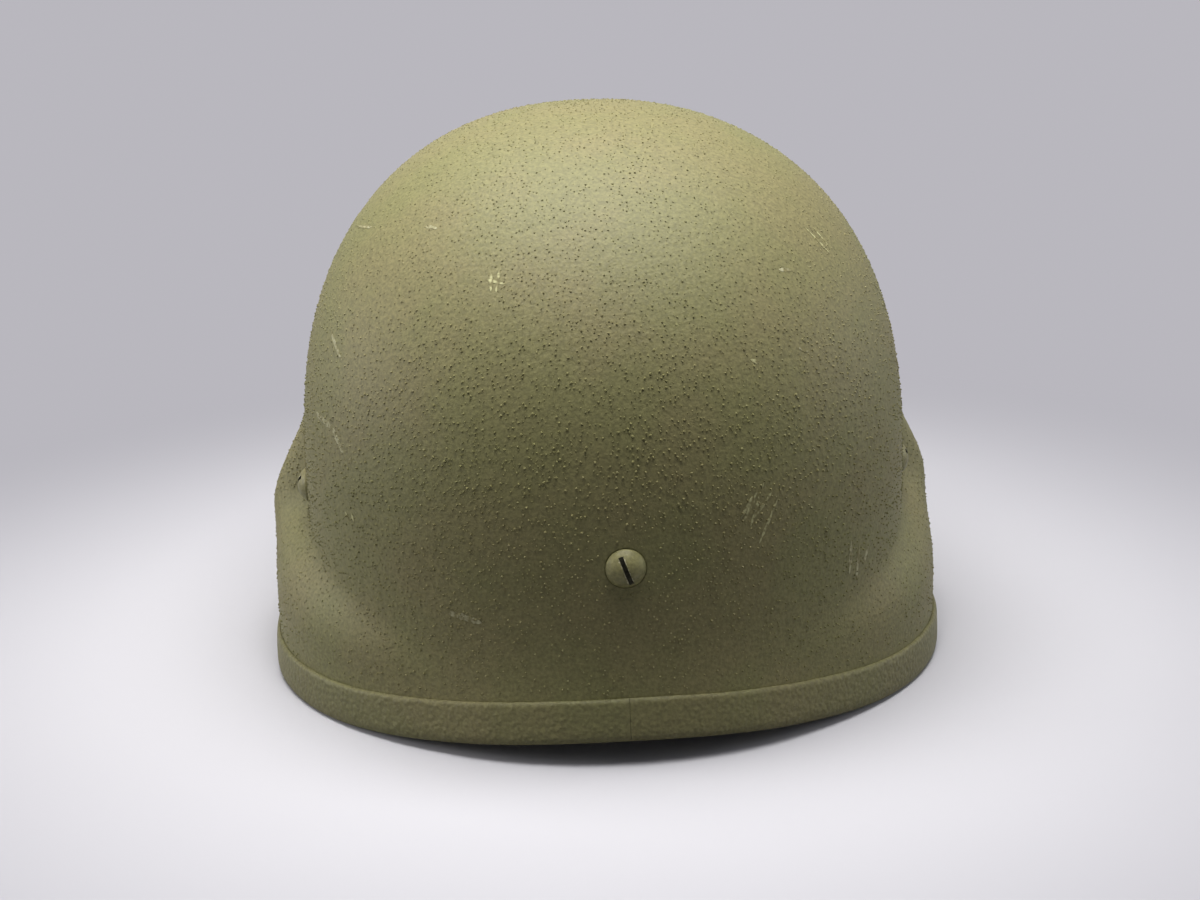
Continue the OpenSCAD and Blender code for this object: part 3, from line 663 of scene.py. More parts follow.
for screw in screws:
    piece = turn_screw("domed_screw_" + screw, side_shank_deep if screw in ("left", "right") else shank_deep)
    off_slot = [abs(face.center.x) - slot_wide / 2 if face.center.z > slot_floor - 0.01 * mm else 1
                for face in piece.data.polygons]
    seat, out = seat_of(screw)
    level = Vector((0, 0, 1)).cross(out)
    axes = Matrix((level, Vector((0, 0, 1)), out)).transposed()
    turned = axes @ Matrix.Rotation(math.radians(screws[screw][4]), 3, "Z")
    piece.data.transform(Matrix.Translation(seat) @ turned.to_4x4())
    dress(piece, screw_paint.material, slot_painted_shade, slot_burr)
    # Faces inside the slot get the painted shade, and faces along its edge get the pale burr.
    for face, off in zip(piece.data.polygons, off_slot):
        face.material_index = 1 if off < 0.03 * mm else 2 if off < 0.24 * mm else 0
    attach(piece, "helmet")
    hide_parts("screw_" + screw)

# Scuffs: places where the paint was rubbed or scraped and shows pale, thin strokes of a
# blade's width. Each is a strip on the coat, from azimuth and height to azimuth and height.
scuff_strokes = {
    "crossed": [((152.2, 149.4), (152.8, 144.1)), ((154.0, 150.1), (154.0, 143.9)), ((151.2, 147.3), (155.8, 146.2))],
    "pair": [((-125.8, 155.8), (-122.0, 146.9)), ((-122.8, 155.4), (-121.0, 149.6))],
    "raked": [((-152.0, 85.4), (-155.0, 72.6)), ((-153.0, 84.7), (-156.5, 74.3)), ((-150.2, 82.4), (-154.2, 74.9)),
              ((-149.0, 79.8), (-153.2, 66.6)), ((-154.5, 82.0), (-157.0, 75.6))],
    "upright": [((-130.0, 59.3), (-130.5, 47.6)), ((-127.5, 56.4), (-128.2, 44.6)), ((-124.0, 54.6), (-126.0, 48.5))],
    "long_left": [((108.2, 100.3), (116.0, 98.2)), ((116.0, 98.2), (120.2, 90.9)), ((121.5, 89.9), (122.5, 89.7))],
    "short_left": [((119.8, 72.1), (121.0, 69.4)), ((121.8, 72.4), (122.5, 69.6))],
    "smear": [((144.2, 47.0), (151.5, 44.6))],
    "speck": [((-152.5, 122.3), (-150.8, 121.0))],
    "edge_line": [((-106.5, 134.1), (-97.5, 123.4))],
    "faint": [((102.0, 157.1), (111.0, 158.2)), ((130.8, 160.7), (134.5, 160.3)), ((-140.2, 145.8), (-136.5, 144.9)),
              ((-140.8, 123.4), (-138.5, 121.7)), ((110.8, 127.0), (117.3, 119.8))],
}
scuff_width = {"crossed": 0.9, "pair": 0.8, "raked": 0.9, "upright": 1.5, "long_left": 2.0, "short_left": 0.7,
               "smear": 2.0, "speck": 0.9, "edge_line": 0.6, "faint": 1.2}
scuff_rise = 0.05
scuff_thick = 0.08 * mm
scuff_steps = 14


def scrape(name, strokes, width):
    strips = []
    for start, end in strokes:
        strip = added(bpy.ops.mesh.primitive_grid_add, name, x_subdivisions=scuff_steps, y_subdivisions=2, size=1)
        grid = points_of(strip)
        run = grid[:, 0] + 0.5
        turn = start[0] + (end[0] - start[0]) * run
        height = start[1] + (end[1] - start[1]) * run
        middle = skin(turn, height, 0, scuff_rise)
        ahead = skin(turn + (end[0] - start[0]) * 0.01, height + (end[1] - start[1]) * 0.01, 0, scuff_rise) - middle
        east = skin(turn + 0.1, height) - skin(turn, height)
        north = skin(turn, height + 0.1) - skin(turn, height)
        across = unit(np.cross(np.cross(east, north), ahead))
        ragged = np.array([1 + 0.7 * noise.noise(Vector(spot) * 900) for spot in middle])
        taper = np.sqrt(np.clip(1 - (2 * run - 1) ** 2, 0, 1)) * ragged
        set_points(strip, middle + across * (grid[:, 1] * width * mm * taper)[:, None])
        strips.append(strip)
    if len(strips) > 1:
        pick(*strips)
        bpy.ops.object.join()
    modify(strips[0], "SOLIDIFY", thickness=scuff_thick, offset=0)
    return strips[0]


scuff_paints = {}
for kind, bared in (("scraped_coat", (0.46, 0.445, 0.235)), ("rubbed_coat", (0.38, 0.365, 0.225))):
    paint = olive_coat(kind, 0.7)
    scraped = paint.level(paint.cloud(0.0016, 3), 0.42, 0.60)
    paint.colour(paint.mixed(scraped, coat_brown, bared))
    scuff_paints[kind] = paint.material
for group, strokes in scuff_strokes.items():
    piece = scrape("scuff_" + group, strokes, scuff_width[group])
    rubbed = group in ("smear", "faint", "upright", "edge_line", "long_left")
    dress(piece, scuff_paints["rubbed_coat" if rubbed else "scraped_coat"])
    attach(piece, "helmet")

# Steel parts: post nuts, spring clips, anchor plates, rivets, buckles and the snap are
# stamped or turned, then blackened. Bright metal shows where edges and heads rub.
def blackened(name, roughness, colour, rubbed, metal):
    steel = Finish(name, roughness, Metallic=metal)
    worn = steel.level(steel.cloud(0.0022, 5), 0.56, 0.80)
    rim = steel.node("ShaderNodeNewGeometry", {}).outputs["Pointiness"]
    edge = steel.sum("MULTIPLY", steel.level(rim, 0.505, 0.56), worn)
    patchy = steel.steps(steel.cloud(0.006, 3), (0.3, colour), (0.7, tuple(1.5 * c for c in colour)))
    steel.colour(steel.mixed(edge, patchy, rubbed))
    steel.gloss(steel.sum("ADD", steel.sum("MULTIPLY", steel.cloud(0.002, 3), 0.25), roughness - 0.12))
    steel.relief((steel.cloud(0.0007, 3), 0.00008, 0.5))
    return steel.material


post_steel = blackened("blackened_post", 0.38, (0.030, 0.030, 0.028), (0.16, 0.155, 0.14), 0.85)
clip_steel = blackened("oiled_spring_steel", 0.42, (0.036, 0.036, 0.032), (0.14, 0.135, 0.125), 0.8)
buckle_steel = blackened("black_enamelled_steel", 0.30, (0.018, 0.018, 0.017), (0.10, 0.098, 0.09), 0.35)
steel_nodes = {
    "post": post_steel, "clip": clip_steel, "headband_clip": clip_steel, "strap_anchor": buckle_steel,
    "strap_rivet": buckle_steel, "buckle": buckle_steel, "snap_stud": buckle_steel, "snap_cap": buckle_steel,
}
for node_name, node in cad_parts.items():
    kind = next((k for k in sorted(steel_nodes, key=len, reverse=True) if node_name.startswith(k)), None)
    if kind:
        dress(node, steel_nodes[kind])

# Sling band: one ring of woven olive nylon webbing, 24 mm wide, that the five clips carry
# inside the shell. Its ends overlap at the nape and are sewn with a boxed cross.
web_thick = 1.6
band_low, band_wide = 60.0, 24.0
band_depth = 16.6334
band_turns = 180
wave_scale = 0.314


def signed_power(value, power):
    return np.sign(value) * np.abs(value) ** power


def ring_normal(turn):
    front = np.abs(turn) < 90
    power = np.where(front, front_power, rear_power) - 1
    reach = np.where(front, front_reach, rear_reach)
    radius, angle = plan_radius(turn, 0), np.radians(turn)
    across = signed_power(radius * np.sin(angle) / half_width, power) / half_width
    along = signed_power(radius * np.cos(angle) / reach, power) / reach
    return unit(np.stack([across, -along], axis=-1))


def ring_place(turn, depth, height):
    turn, depth, height = np.broadcast_arrays(*(np.asarray(v, float) for v in (turn, depth, height)))
    radius = plan_radius(turn, 0)
    flat = np.stack([radius * np.sin(np.radians(turn)), widest_y - radius * np.cos(np.radians(turn))], axis=-1)
    flat = flat - depth[..., None] * ring_normal(turn)
    return np.concatenate([flat, height[..., None]], axis=-1) * mm


def length_along(route):
    return np.concatenate([[0], np.cumsum(np.linalg.norm(np.diff(route, axis=0), axis=1))])


def ribbon(name, middle, side, width, thick, material, rows=6):
    """A strip of webbing along the middle points. Its UV map is in metres along and across."""
    steps = len(middle) - 1
    piece = added(bpy.ops.mesh.primitive_grid_add, name, x_subdivisions=steps, y_subdivisions=rows, size=1,
                  calc_uvs=True)
    grid = points_of(piece)
    step = np.rint((grid[:, 0] + 0.5) * steps).astype(int)
    across = grid[:, 1] * width * mm
    side = np.broadcast_to(unit(np.asarray(side, float)), middle.shape)
    set_points(piece, middle[step] + side[step] * across[:, None])
    length = length_along(middle)
    for loop, uv in zip(piece.data.loops, piece.data.uv_layers[0].data):
        uv.uv = (length[step[loop.vertex_index]], across[loop.vertex_index])
    modify(piece, "SOLIDIFY", thickness=thick * mm, offset=0)
    bpy.ops.object.shade_smooth_by_angle(angle=math.radians(50))
    dress(piece, material)
    return piece


def webbing(name, colour, dark, rib, pick):
    cloth = Finish(name, 0.82, Specular_IOR_Level=0.25, Sheen_Weight=0.25, Sheen_Roughness=0.5)
    cloth.shader.inputs["Sheen Tint"].default_value = (*colour, 1)
    cloth.place = cloth.node("ShaderNodeTexCoord", {}).outputs["UV"]
    ribs = cloth.waves("Y", wave_scale / rib, Distortion=0.3, Detail=1.0)
    picks = cloth.waves("X", wave_scale / pick, Distortion=0.3, Detail=1.0)
    picked = cloth.sum("ADD", cloth.sum("MULTIPLY", picks, 0.55), 0.45)
    yarn = cloth.sum("MULTIPLY", cloth.sum("POWER", ribs, 0.6), picked)
    faded = cloth.mixed(cloth.level(cloth.cloud(0.012, 3), 0.35, 0.70), colour, tuple(1.25 * c for c in colour))
    cloth.colour(cloth.mixed(cloth.level(yarn, 0.05, 0.6), dark, faded))
    cloth.relief((yarn, 0.0004, 0.8), (cloth.cloud(0.0004, 2), 0.0001, 0.5))
    return cloth.material


sling_webbing = webbing("sling_webbing", (0.118, 0.122, 0.060), (0.030, 0.032, 0.016), 0.0011, 0.0016)
turns = np.linspace(-180, 180, band_turns + 1)
band = ribbon("sling_band", ring_place(turns, band_depth + web_thick / 2, band_low + band_wide / 2),
              (0, 0, 1), band_wide, web_thick - 0.1, sling_webbing)
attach(band, "helmet")
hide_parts("suspension_band")

# Stitches: waxed thread, each stitch a small flat bead that lies in the cloth. Rows of
# them close the sling band, hold the crown straps and edge the headband.
stitch_long, stitch_wide, stitch_high = 2.2 * mm, 0.5 * mm, 0.35 * mm
stitch_gap = 0.9 * mm
stitch_points, stitch_faces = pattern_of(bpy.ops.mesh.primitive_uv_sphere_add, segments=6, ring_count=4, radius=0.5)
stitch_points = stitch_points[:, [2, 0, 1]] * (stitch_long, stitch_wide, stitch_high)


def sewn_row(route, normals):
    """Places for stitches along a route: middle, run and normal of each."""
    normals = np.broadcast_to(normals, route.shape)
    length = length_along(route)
    count = max(1, int(length[-1] // (stitch_long + stitch_gap)))

    def part_way(rows, where):
        return np.stack([np.interp(where, length, row) for row in rows.T], axis=1)

    at = (np.arange(count) + 0.5) * length[-1] / count
    middles = part_way(route, at)
    return list(zip(middles, part_way(route, at + 0.2 * mm) - middles, part_way(normals, at)))


def sew(name, places, material, body):
    copies = []
    for middle, run, normal in places:
        run = unit(run)
        normal = unit(normal - run * (normal @ run))
        copies.append(middle + stitch_points @ np.array([run, np.cross(normal, run), normal]))
    piece = scattered(name, np.array(copies), stitch_faces)
    piece.data.shade_smooth()
    dress(piece, material)
    pick(piece)
    face_out()
    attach(piece, body)


thread = cloudy("waxed_thread", 0.55, 0.003, 2, (0.3, (0.075, 0.080, 0.038)), (0.7, (0.13, 0.13, 0.07)),
                (0.0004, 0.0001, 0.6))


def ring_inward(turn):
    flat = -ring_normal(turn)
    return np.concatenate([flat, np.zeros(flat.shape[:-1] + (1,))], axis=-1)


def ring_seam(turn, depth, height):
    return sewn_row(ring_place(turn, depth, height), ring_inward(np.asarray(turn, float)))


join_turns = np.linspace(168, 180, 9)
join_in = band_depth + web_thick
seam_low, seam_high = band_low + 3, band_low + band_wide - 3
rising = np.linspace(seam_low, seam_high, 9)
band_rows = []
for height in (seam_low, seam_high, rising, rising[::-1]):
    band_rows += ring_seam(join_turns, join_in, height)
for turn in join_turns[[0, -1]]:
    band_rows += ring_seam(turn, join_in, rising[::2])
sew("sling_band_stitches", band_rows, thread, "helmet")

# Crown straps: six straps of the same webbing, sewn inside the band. Each rises over the
# head, turns round the drawcord in a loop and is sewn back on itself.
crown_strap_wide = 14.0
crown_top = shell_height - 35.0
crown_centre = np.array([0, widest_y - 22, crown_top])
draw_radius = 22.0
loop_radius = 2.9
strap_feet = {"front": (27, 31), "side": (88, 98), "rear": (150, 154)}
foot_sewn = 15.0
foot_gap = 0.9
foot_depth = band_depth + web_thick + foot_gap + web_thick / 2
tail_long, tail_drop = 13, 3.9


def bent(share, start, one, other, end):
    """A smooth curve from start to end, pulled towards the two places between."""
    return ((1 - share) ** 3 * start + 3 * (1 - share) ** 2 * share * one
            + 3 * (1 - share) * share ** 2 * other + share ** 3 * end)


up = np.array([0, 0, 1.0])
strap_rows = []
for strap, (foot_turn, end_turn) in strap_feet.items():
    for hand, hand_name in ((1, "left"), (-1, "right")):
        foot = ring_place(foot_turn, foot_depth, band_low + band_wide) / mm
        away = np.array([math.sin(math.radians(end_turn)), -math.cos(math.radians(end_turn)), 0])
        loop_middle = crown_centre + away * (draw_radius - 0.5)
        tip = loop_middle + up * loop_radius
        rise = 0.62 * (crown_top - foot[2])
        pull = 0.45 * (np.hypot(foot[0], foot[1] - crown_centre[1]) - draw_radius)
        share = np.linspace(0, 1, 29)
        bow = bent(share[:, None], foot, foot + up * rise, tip + away * pull + up, tip)
        sewn_foot = foot - up * np.linspace(foot_sewn, 0, 5)[:-1, None]
        around = np.radians(np.linspace(90, 262, 13)[1:])[:, None]
        loop = loop_middle + loop_radius * (np.cos(around) * away + np.sin(around) * up)
        back = np.linspace(0, 1, 8)[1:, None]
        under = loop[-1] + back * away * tail_long + up * tail_drop * np.sin(back * math.pi / 2)
        route = np.concatenate([sewn_foot, bow, loop, under]) * (hand, 1, 1)
        inward = ring_inward(np.array(float(foot_turn))) * (hand, 1, 1)
        tangent = np.cross(inward, up) * hand
        wide = np.array([-away[1], away[0], 0]) * (hand, 1, 1)
        blend = np.concatenate([np.zeros(len(sewn_foot)), eased(share, 0.05, 1), np.ones(len(loop) + len(under))])
        side = tangent * (1 - blend[:, None]) + wide * blend[:, None]
        strap_name = strap + "_" + hand_name
        piece = ribbon("crown_webbing_" + strap_name, route * mm, side, crown_strap_wide, web_thick - 0.15,
                       sling_webbing)
        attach(piece, "helmet")
        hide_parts("crown_strap_" + strap_name)
        middle = route[0] + inward * web_thick / 2
        corners = np.array([middle + tangent * x + up * y for x, y in ((-5, 1.5), (5, 1.5), (5, 12.5), (-5, 12.5))])
        for ends in ((0, 1), (1, 2), (2, 3), (3, 0), (0, 2), (1, 3)):
            strap_rows += sewn_row(corners[list(ends)] * mm, inward)
sew("crown_strap_stitches", strap_rows, thread, "helmet")

# Drawcord: a braided nylon cord through the six loops, 2.6 mm thick. It is tied at the
# front with an overhand knot.
cord_radius = 1.3
knot_cord_radius = 1.15
knot_turns = 60


def swept(name, route, one, other, outline, sides):
    """A closed body along a route. The outline gives its section at each angle and share of the way."""
    piece = added(bpy.ops.mesh.primitive_cylinder_add, name, vertices=sides, radius=1, depth=1, end_fill_type="NGON")
    for face in piece.data.polygons:
        face.select = False
    for edge in piece.data.edges:
        low, high = (piece.data.vertices[v].co.z for v in edge.vertices)
        edge.select = abs(low - high) > 0.5
    bpy.ops.object.mode_set(mode="EDIT")
    bpy.ops.mesh.select_mode(type="EDGE")
    bpy.ops.mesh.subdivide_edgering(number_cuts=len(route) - 2, smoothness=0)
    bpy.ops.object.mode_set(mode="OBJECT")
    pole = points_of(piece)
    step = np.rint((pole[:, 2] + 0.5) * (len(route) - 1)).astype(int)
    along_one, along_other = outline(np.arctan2(pole[:, 1], pole[:, 0]), step / (len(route) - 1))
    set_points(piece, route[step] + one[step] * along_one[:, None] + other[step] * along_other[:, None])
    face_out()
    bpy.ops.object.shade_smooth_by_angle(angle=math.radians(60))
    return piece


def laid_cord(name, route, radius):
    def section(angle, share):
        return radius * np.cos(angle), radius * np.sin(angle)

    run = unit(np.gradient(route, axis=0))
    one = np.zeros_like(run)
    guide = np.cross(run[0], (0.3, 0.2, 0.93))
    for k, ahead in enumerate(run):
        guide = unit(guide - ahead * (guide @ ahead))
        one[k] = guide
    piece = swept(name, route, one, np.cross(run, one), section, 12)
    dress(piece, cord_nylon)
    return piece


braid = Finish("braided_nylon", 0.6, Sheen_Weight=0.2)
strand = braid.sum("MAXIMUM", braid.waves("DIAGONAL", 330, Distortion=0.6),
                   braid.waves("DIAGONAL", 330, Distortion=0.6, Vector=braid.stretched((-1, 1, 1))))
braid.colour(braid.mixed(braid.level(strand, 0.2, 0.9), (0.028, 0.030, 0.016), (0.105, 0.110, 0.058)))
braid.relief((strand, 0.0003, 0.7))
cord_nylon = braid.material
cord_turns = np.radians(np.linspace(-6, 366, 121))
ring_flat = np.stack([-np.sin(cord_turns), -np.cos(cord_turns), 0 * cord_turns], axis=1)
ring_route = crown_centre + draw_radius * ring_flat + 0.5 * np.cos(cord_turns / 2)[:, None] * up
drawcord = laid_cord("drawcord_ring", ring_route * mm, cord_radius * mm)
knot_at = crown_centre + np.array([0, -draw_radius - 0.2, 0])
loops = np.linspace(0, 2 * math.pi, knot_turns)
knot_route = np.stack([np.sin(loops) + 2 * np.sin(2 * loops), np.cos(loops) - 2 * np.cos(2 * loops),
                       -np.sin(3 * loops)], axis=1) * (0.62, 0.62, 0.95)
knot = laid_cord("drawcord_knot", (knot_at + knot_route[:, [0, 2, 1]]) * mm, knot_cord_radius * mm)
for piece in (drawcord, knot):
    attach(piece, "helmet")
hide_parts("drawcord")

# Headband: a leather sweatband over foam, 36 mm high, open at the nape. It is sewn along
# both edges, so that the foam swells between the seams, and hangs on six spring clips.
headband_low, headband_high = 58.0, 36.0
headband_depth = 23.2334
headband_end = 158.0
headband_steps = 150
headband_seam, seam_flat = 3.4, 4.2
leather_thick, foam_swell = 2.0, 1.2


def puff(piece, pinned, pressure, most):
    """Blows the piece up a little as cloth, with its seams held, by no more than most."""
    start = points_of(piece)
    seam = piece.vertex_groups.new(name="seam")
    seam.add([int(k) for k in np.nonzero(pinned)[0]], 1.0, "REPLACE")
    cloth = piece.modifiers.new("stuffing", "CLOTH")
    cloth.settings.vertex_group_mass = "seam"
    cloth.settings.use_pressure = True
    cloth.settings.uniform_pressure_force = pressure
    cloth.settings.effector_weights.gravity = 0
    cloth.settings.bending_stiffness = 2
    cloth.collision_settings.use_collision = False
    for frame_number in range(1, 21):
        scene.frame_set(frame_number)
    pick(piece)
    bpy.ops.object.modifier_apply(modifier="stuffing")
    scene.frame_set(1)
    moved = points_of(piece) - start
    size = np.linalg.norm(moved, axis=1)
    keep = np.minimum(1, most / np.maximum(size, 1e-9))
    set_points(piece, start + moved * keep[:, None])
    piece.vertex_groups.clear()


def leather(name, pale, stain):
    hide = Finish(name, 0.5, Specular_IOR_Level=0.4)
    pores = hide.cells("DISTANCE_TO_EDGE", 1100)
    creases = hide.cells("DISTANCE_TO_EDGE", 150, Vector=hide.stretched((1, 1, 2.5)))
    body_tone = hide.steps(hide.cloud(0.028, 4), (0.32, stain), (0.66, pale))
    freckle = hide.steps(hide.cloud(0.0018, 4), (0.30, (0.82, 0.80, 0.78)), (0.66, (1.08, 1.08, 1.08)))
    hide.colour(hide.mixed(1.0, body_tone, freckle, "MULTIPLY"))
    hide.gloss(hide.sum("ADD", hide.sum("MULTIPLY", hide.cloud(0.010, 3), 0.3), 0.34))
    hide.relief((hide.level(pores, 0.0, 0.12), 0.00012, 0.6), (hide.level(creases, 0.0, 0.05), 0.0002, 0.5))
    return hide.material


tan_leather = leather("tan_leather", (0.300, 0.185, 0.095), (0.190, 0.105, 0.050))
headband_turns = np.linspace(-headband_end, headband_end, headband_steps + 1)
headband_route = ring_place(headband_turns, headband_depth + leather_thick / 2, headband_low + headband_high / 2)
headband_in = ring_inward(headband_turns)
headband_up = np.repeat(up[None], headband_steps + 1, axis=0)


def headband_outline(angle, share):
    across = signed_power(np.sin(angle), 0.55)
    inner = np.cos(angle) > 0
    rounded = np.sqrt(np.clip(1 - np.abs(across) ** 12, 0, 1))
    swell = foam_swell * np.sqrt(np.clip((0.79 - np.abs(across)) / 0.4, 0, 1))
    closing = np.sqrt(np.clip(np.minimum(share, 1 - share) / 0.006, 0.04, 1))
    inward = np.where(inner, leather_thick / 2 * rounded + swell, -leather_thick / 2 * rounded) * closing
    return inward * mm, across * headband_high / 2 * mm


headband = swept("leather_headband", headband_route, headband_in, headband_up, headband_outline, 36)
heights = points_of(headband)[:, 2] / mm - headband_low
puff(headband, (heights < seam_flat) | (heights > headband_high - seam_flat), 3, 0.7 * mm)
dress(headband, tan_leather)
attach(headband, "helmet")
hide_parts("headband")
seam_turns = np.linspace(-headband_end + 1.5, headband_end - 1.5, 240)
seam_heights = np.linspace(headband_low + headband_seam, headband_low + headband_high - headband_seam, 6)
seam_in = headband_depth + leather_thick + 0.1
band_seams = []
for height in seam_heights[[0, -1]]:
    band_seams += ring_seam(seam_turns, seam_in, height)
for turn in seam_turns[[0, -1]]:
    band_seams += ring_seam(turn, seam_in, seam_heights)
pale_thread = cloudy("pale_thread", 0.6, 0.003, 2, (0.3, (0.30, 0.25, 0.15)), (0.7, (0.42, 0.37, 0.25)),
                     (0.0004, 0.0001, 0.6))
sew("headband_stitches", band_seams, pale_thread, "helmet")

# Headband closure: a tab of hook and loop tape behind the nape, sewn to one end of the
# headband and pressed to the other, so that the band fits the head.
closure_start, closure_stop = 146.0, 214.0
closure_low, closure_wide = 63.0, 26.0
closure_turns = np.linspace(closure_start, closure_stop, 61)
closure_turns = np.where(closure_turns > 180, closure_turns - 360, closure_turns)
pile = Finish("loop_pile", 0.95, Sheen_Weight=0.5, Sheen_Roughness=0.4)
fuzz = pile.cloud(0.0006, 4)
pile.colour(pile.steps(fuzz, (0.35, (0.030, 0.034, 0.018)), (0.68, (0.105, 0.110, 0.062))))
pile.relief((fuzz, 0.0006, 0.9), (pile.cloud(0.004, 2), 0.0004, 0.4))
closure_route = ring_place(closure_turns, headband_depth - 0.3 - web_thick / 2, closure_low + closure_wide / 2)
closure = ribbon("closure_tape", closure_route, up, closure_wide, web_thick - 0.1, pile.material)
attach(closure, "helmet")
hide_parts("headband_closure")

# Chin strap: one length of olive cotton webbing, 19 mm wide, riveted to an anchor plate at
# each side. It leans in past the buckles, turns in along the cheeks and bows round the chin.
strap_tilt = math.radians(24)
hinge = np.array([0, 45.4832, 68.0])
strap_wide = 19.0
strap_x = 90.4666
strap_reach = 125.0
lean_slope, lean_length = 0.15, 30.6
cheek_slope, cheek_length = 0.42, 37.0
strap_normal = np.array([0, -math.sin(strap_tilt), math.cos(strap_tilt)])
strap_forward = np.array([0, -math.cos(strap_tilt), -math.sin(strap_tilt)])
strap_axes = np.array([(1, 0, 0), strap_forward])


def run_way(slope):
    return np.array([-slope, 1]) / math.hypot(slope, 1)


def strap_place(flat, lift=0.0):
    """Metres in space for a place (to the left, along the strap) in the strap's plane."""
    lift = np.asarray(lift, float)[..., None]
    return (hinge + np.asarray(flat, float) @ strap_axes + lift * strap_normal) * mm


lean_start = np.array([strap_x, 32.0])
cheek_start = lean_start + run_way(lean_slope) * lean_length
chin_start = cheek_start + run_way(cheek_slope) * cheek_length
chin_pull = chin_start + run_way(cheek_slope) * 17
chin_front = np.array([30, strap_reach])


def chin_curve(share):
    return bent(share[:, None], chin_start, chin_pull, chin_front, np.array([0, strap_reach]))


def straight(start, end, gap=1.5):
    steps = max(1, int(np.linalg.norm(end - start) / gap))
    return start + np.linspace(0, 1, steps + 1)[:-1, None] * (end - start)


left_half = np.concatenate([straight(np.array([strap_x, 16.0]), lean_start), straight(lean_start, cheek_start),
                            straight(cheek_start, chin_start), chin_curve(np.linspace(0, 1, 61))])
strap_flat = np.concatenate([left_half, left_half[-2::-1] * (-1, 1)])
for _ in range(4):
    strap_flat[1:-1] = (strap_flat[:-2] + strap_flat[1:-1] + strap_flat[2:]) / 3
strap_cotton = webbing("strap_cotton", (0.125, 0.125, 0.062), (0.034, 0.034, 0.018), 0.0012, 0.0010)
strap = ribbon("chin_strap_webbing", strap_place(strap_flat), strap_normal, strap_wide, web_thick - 0.1, strap_cotton)
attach(strap, "chin_strap")
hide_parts("chin_webbing")


def run_place(start, slope, along, out, lift=0.0):
    way = run_way(slope)
    return strap_place(start + way * along + np.array([way[1], -way[0]]) * out, lift)


# Root of the release flap: the folded end of the flap, packed up to the height of the
# snap and sewn through to the strap with two rows.
root_from, root_long = 14.5, 3.5
snap_high = 1.3
flap_middle = web_thick / 2 + snap_high + web_thick / 2
flap_outer = flap_middle + 0.8
root_layers = [run_place(cheek_start, cheek_slope, along, out) for along, out in (
    (root_from - 1.5, 0.95), (root_from - 0.6, 1.6), (root_from + 0.4, 2.5), (root_from + 1.4, flap_middle),
    (root_from + root_long, flap_middle))]
flap_root = ribbon("release_flap_root", np.array(root_layers), strap_normal, strap_wide, web_thick - 0.1,
                   strap_cotton)
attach(flap_root, "chin_strap")
way = run_way(cheek_slope)
outward = (way[1], -way[0]) @ strap_axes
strap_rows = []
for along in (root_from + 1.6, root_from + 2.9):
    row = [run_place(cheek_start, cheek_slope, along, flap_outer, lift) for lift in (-8.0, 8.0)]
    strap_rows += sewn_row(np.array(row), outward)
for hand in (1, -1):
    for row in (((18, -7.5), (30.5, -7.5)), ((18, 7.5), (30.5, 7.5)), ((30.5, -7.5), (30.5, 7.5))):
        row = [strap_place((hand * (strap_x - 0.85), along), lift) for along, lift in row]
        strap_rows += sewn_row(np.array(row), (-hand, 0, 0))
sew("chin_strap_stitches", strap_rows, thread, "chin_strap")

# Release flap: a short tongue of the same webbing over the snap on the left cheek. It
# lifts off the snap to free the strap.
flap_from, flap_long = root_from + root_long + 0.15, 17.0
corner = 4.0
flap_route = np.array([run_place(cheek_start, cheek_slope, flap_from + along, flap_middle)
                       for along in np.linspace(0, flap_long, 18)])
flap = ribbon("release_flap_webbing", flap_route, strap_normal, strap_wide, web_thick - 0.1, strap_cotton, rows=8)
far_end = flap_route[-1]
flap_way = unit(far_end - flap_route[0])
spots = points_of(flap)
behind = (far_end - spots) @ flap_way / mm
beside = (spots - far_end) @ strap_normal / mm
inset = np.clip(corner - behind, 0, corner)
half = strap_wide / 2 - (corner - np.sqrt(np.clip(corner ** 2 - inset ** 2, 0, None)))
set_points(flap, spots + ((beside / (strap_wide / 2) * half - beside) * mm)[:, None] * strap_normal)
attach(flap, "flap")
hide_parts("release_flap")
edge_row = [run_place(cheek_start, cheek_slope, flap_from + along, flap_outer, lift)
            for along, lift in ((2, -7.3), (13.5, -7.3), (15.2, -5.0), (15.2, 5.0), (13.5, 7.3), (2, 7.3))]
sew("release_flap_stitches", sewn_row(np.array(edge_row), outward), thread, "flap")

# Chin cup: a pad of soft leather over foam, sewn round its edge, that lies on the inner
# side of the webbing and is fullest at the point of the chin.
cup_half, cup_high, cup_end_high, cup_thick = 44.0, 36.0, 22.0, 5.0
cup_curve = chin_curve(np.linspace(0, 1, 121))
cup_side = cup_curve[cup_curve[:, 0] <= cup_half]
cup_flat = np.concatenate([cup_side, cup_side[-2::-1] * (-1, 1)])
cup_run = unit(np.gradient(cup_flat, axis=0))
cup_out = cup_run[:, ::-1] * (1, -1)
cup_route = strap_place(cup_flat - cup_out * (web_thick / 2 + 0.3 + cup_thick / 2))
cup_inward = -cup_out @ strap_axes
cup_lift = np.repeat(strap_normal[None], len(cup_route), axis=0)


def cup_outline(angle, share):
    full = np.sin(np.pi * np.clip(share, 0.001, 0.999))
    end = np.sqrt(np.clip(1 - (1 - np.clip(np.minimum(share, 1 - share) / 0.07, 0, 1)) ** 2, 0.003, 1))
    high = (cup_end_high + (cup_high - cup_end_high) * full) / 2 * (0.35 + 0.65 * end)
    across = signed_power(np.sin(angle), 0.7)
    inner = np.cos(angle) > 0
    swell = np.clip((0.80 - np.abs(across)) / 0.45, 0, 1) ** 0.5
    rounded = np.sqrt(np.clip(1 - np.abs(across) ** 14, 0, 1))
    thick = (0.6 + 0.4 * full) * cup_thick * end
    inward = np.where(inner, -0.33 + 0.20 * rounded + 0.60 * swell, -0.33 - 0.17 * rounded) * thick
    return inward * mm, across * high * mm


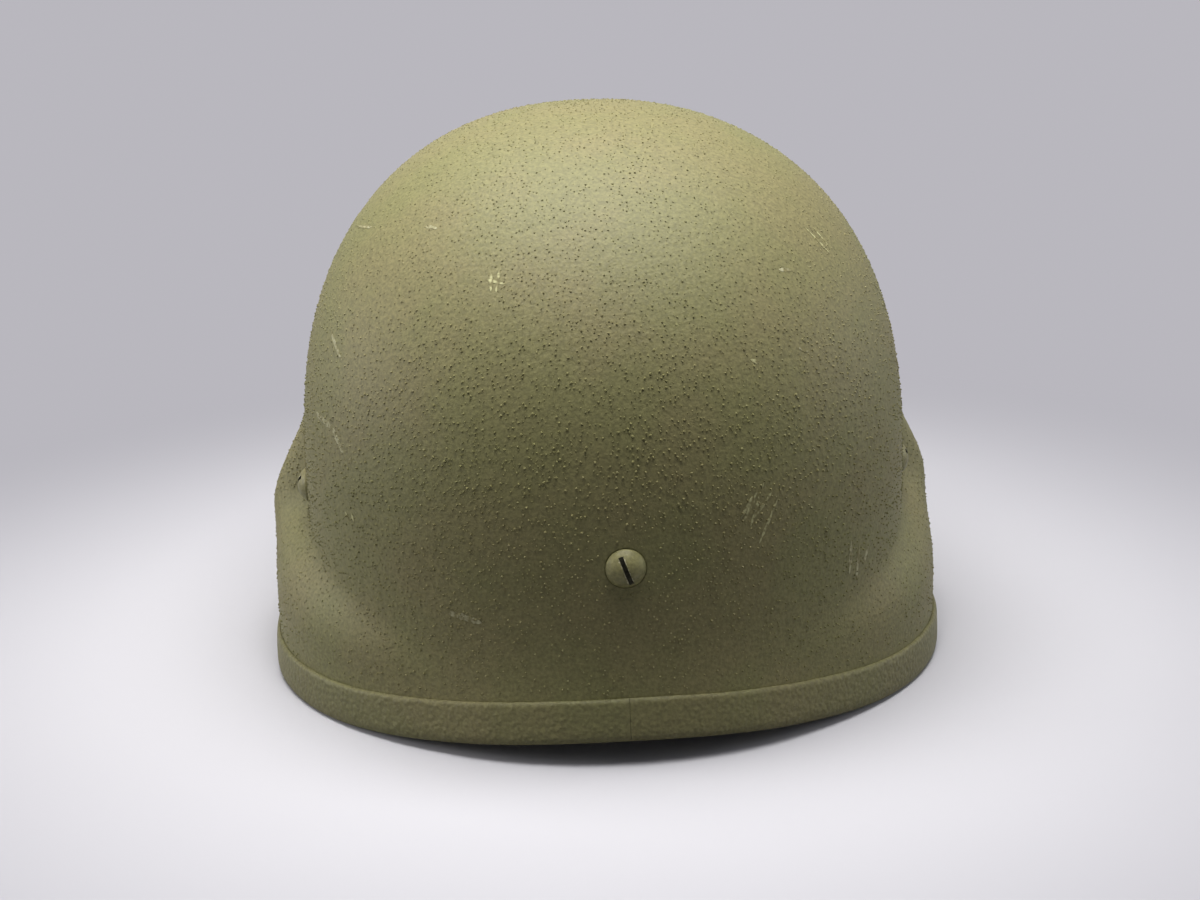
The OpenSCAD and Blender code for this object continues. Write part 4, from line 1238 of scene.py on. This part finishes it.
cup = swept("leather_chin_cup", cup_route, cup_inward, cup_lift, cup_outline, 40)
away_from_plane = (points_of(cup) - cup_route[len(cup_route) // 2]) @ strap_normal
share_high = np.abs(away_from_plane) / (cup_high / 2 * mm)
puff(cup, share_high > 0.80, 4, 0.5 * mm)
dress(cup, leather("cup_leather", (0.285, 0.185, 0.100), (0.180, 0.108, 0.055)))
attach(cup, "chin_strap")
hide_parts("chin_cup")
cup_seams = []
rim = slice(12, -12)
full = np.sin(np.pi * np.linspace(0, 1, len(cup_flat)))[rim, None]
thick = (0.6 + 0.4 * full) * cup_thick
for edge in (1, -1):
    half_lift = (cup_end_high + (cup_high - cup_end_high) * full) / 2 * 0.89 * edge
    route = cup_route[rim] + (cup_inward[rim] * (-0.13 * thick + 0.08) + cup_lift[rim] * half_lift) * mm
    cup_seams += sewn_row(route, cup_inward[rim])
sew("chin_cup_stitches", cup_seams, pale_thread, "chin_strap")

# Keepers: loops of ribbed elastic round the webbing beside the chin cup, which hold the
# strap's loose layers together.
keeper_share = 3 / 14
keeper_long, keeper_thick, keeper_gap = 6.0, 1.2, 0.3
elastic = webbing("ribbed_elastic", (0.070, 0.072, 0.044), (0.018, 0.018, 0.012), 0.0009, 0.0008)
near = chin_curve(keeper_share + np.array([-0.01, 0, 0.01]))
keeper_way = unit(near[2] - near[0])
keeper_reach = keeper_gap + keeper_thick / 2
around = np.linspace(0, 2 * math.pi, 49)
out = signed_power(np.cos(around), 0.35) * (web_thick / 2 + keeper_reach)
lift = signed_power(np.sin(around), 0.35) * (strap_wide / 2 + keeper_reach)
for hand, hand_name in ((1, "left"), (-1, "right")):
    flat = (near[1] + out[:, None] * (keeper_way[1], -keeper_way[0])) * (hand, 1)
    run = keeper_way * (hand, 1) @ strap_axes
    keeper = ribbon("elastic_keeper_" + hand_name, strap_place(flat, lift), run, keeper_long, keeper_thick - 0.1,
                    elastic, rows=4)
    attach(keeper, "chin_strap")
    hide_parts("strap_keeper_" + hand_name)
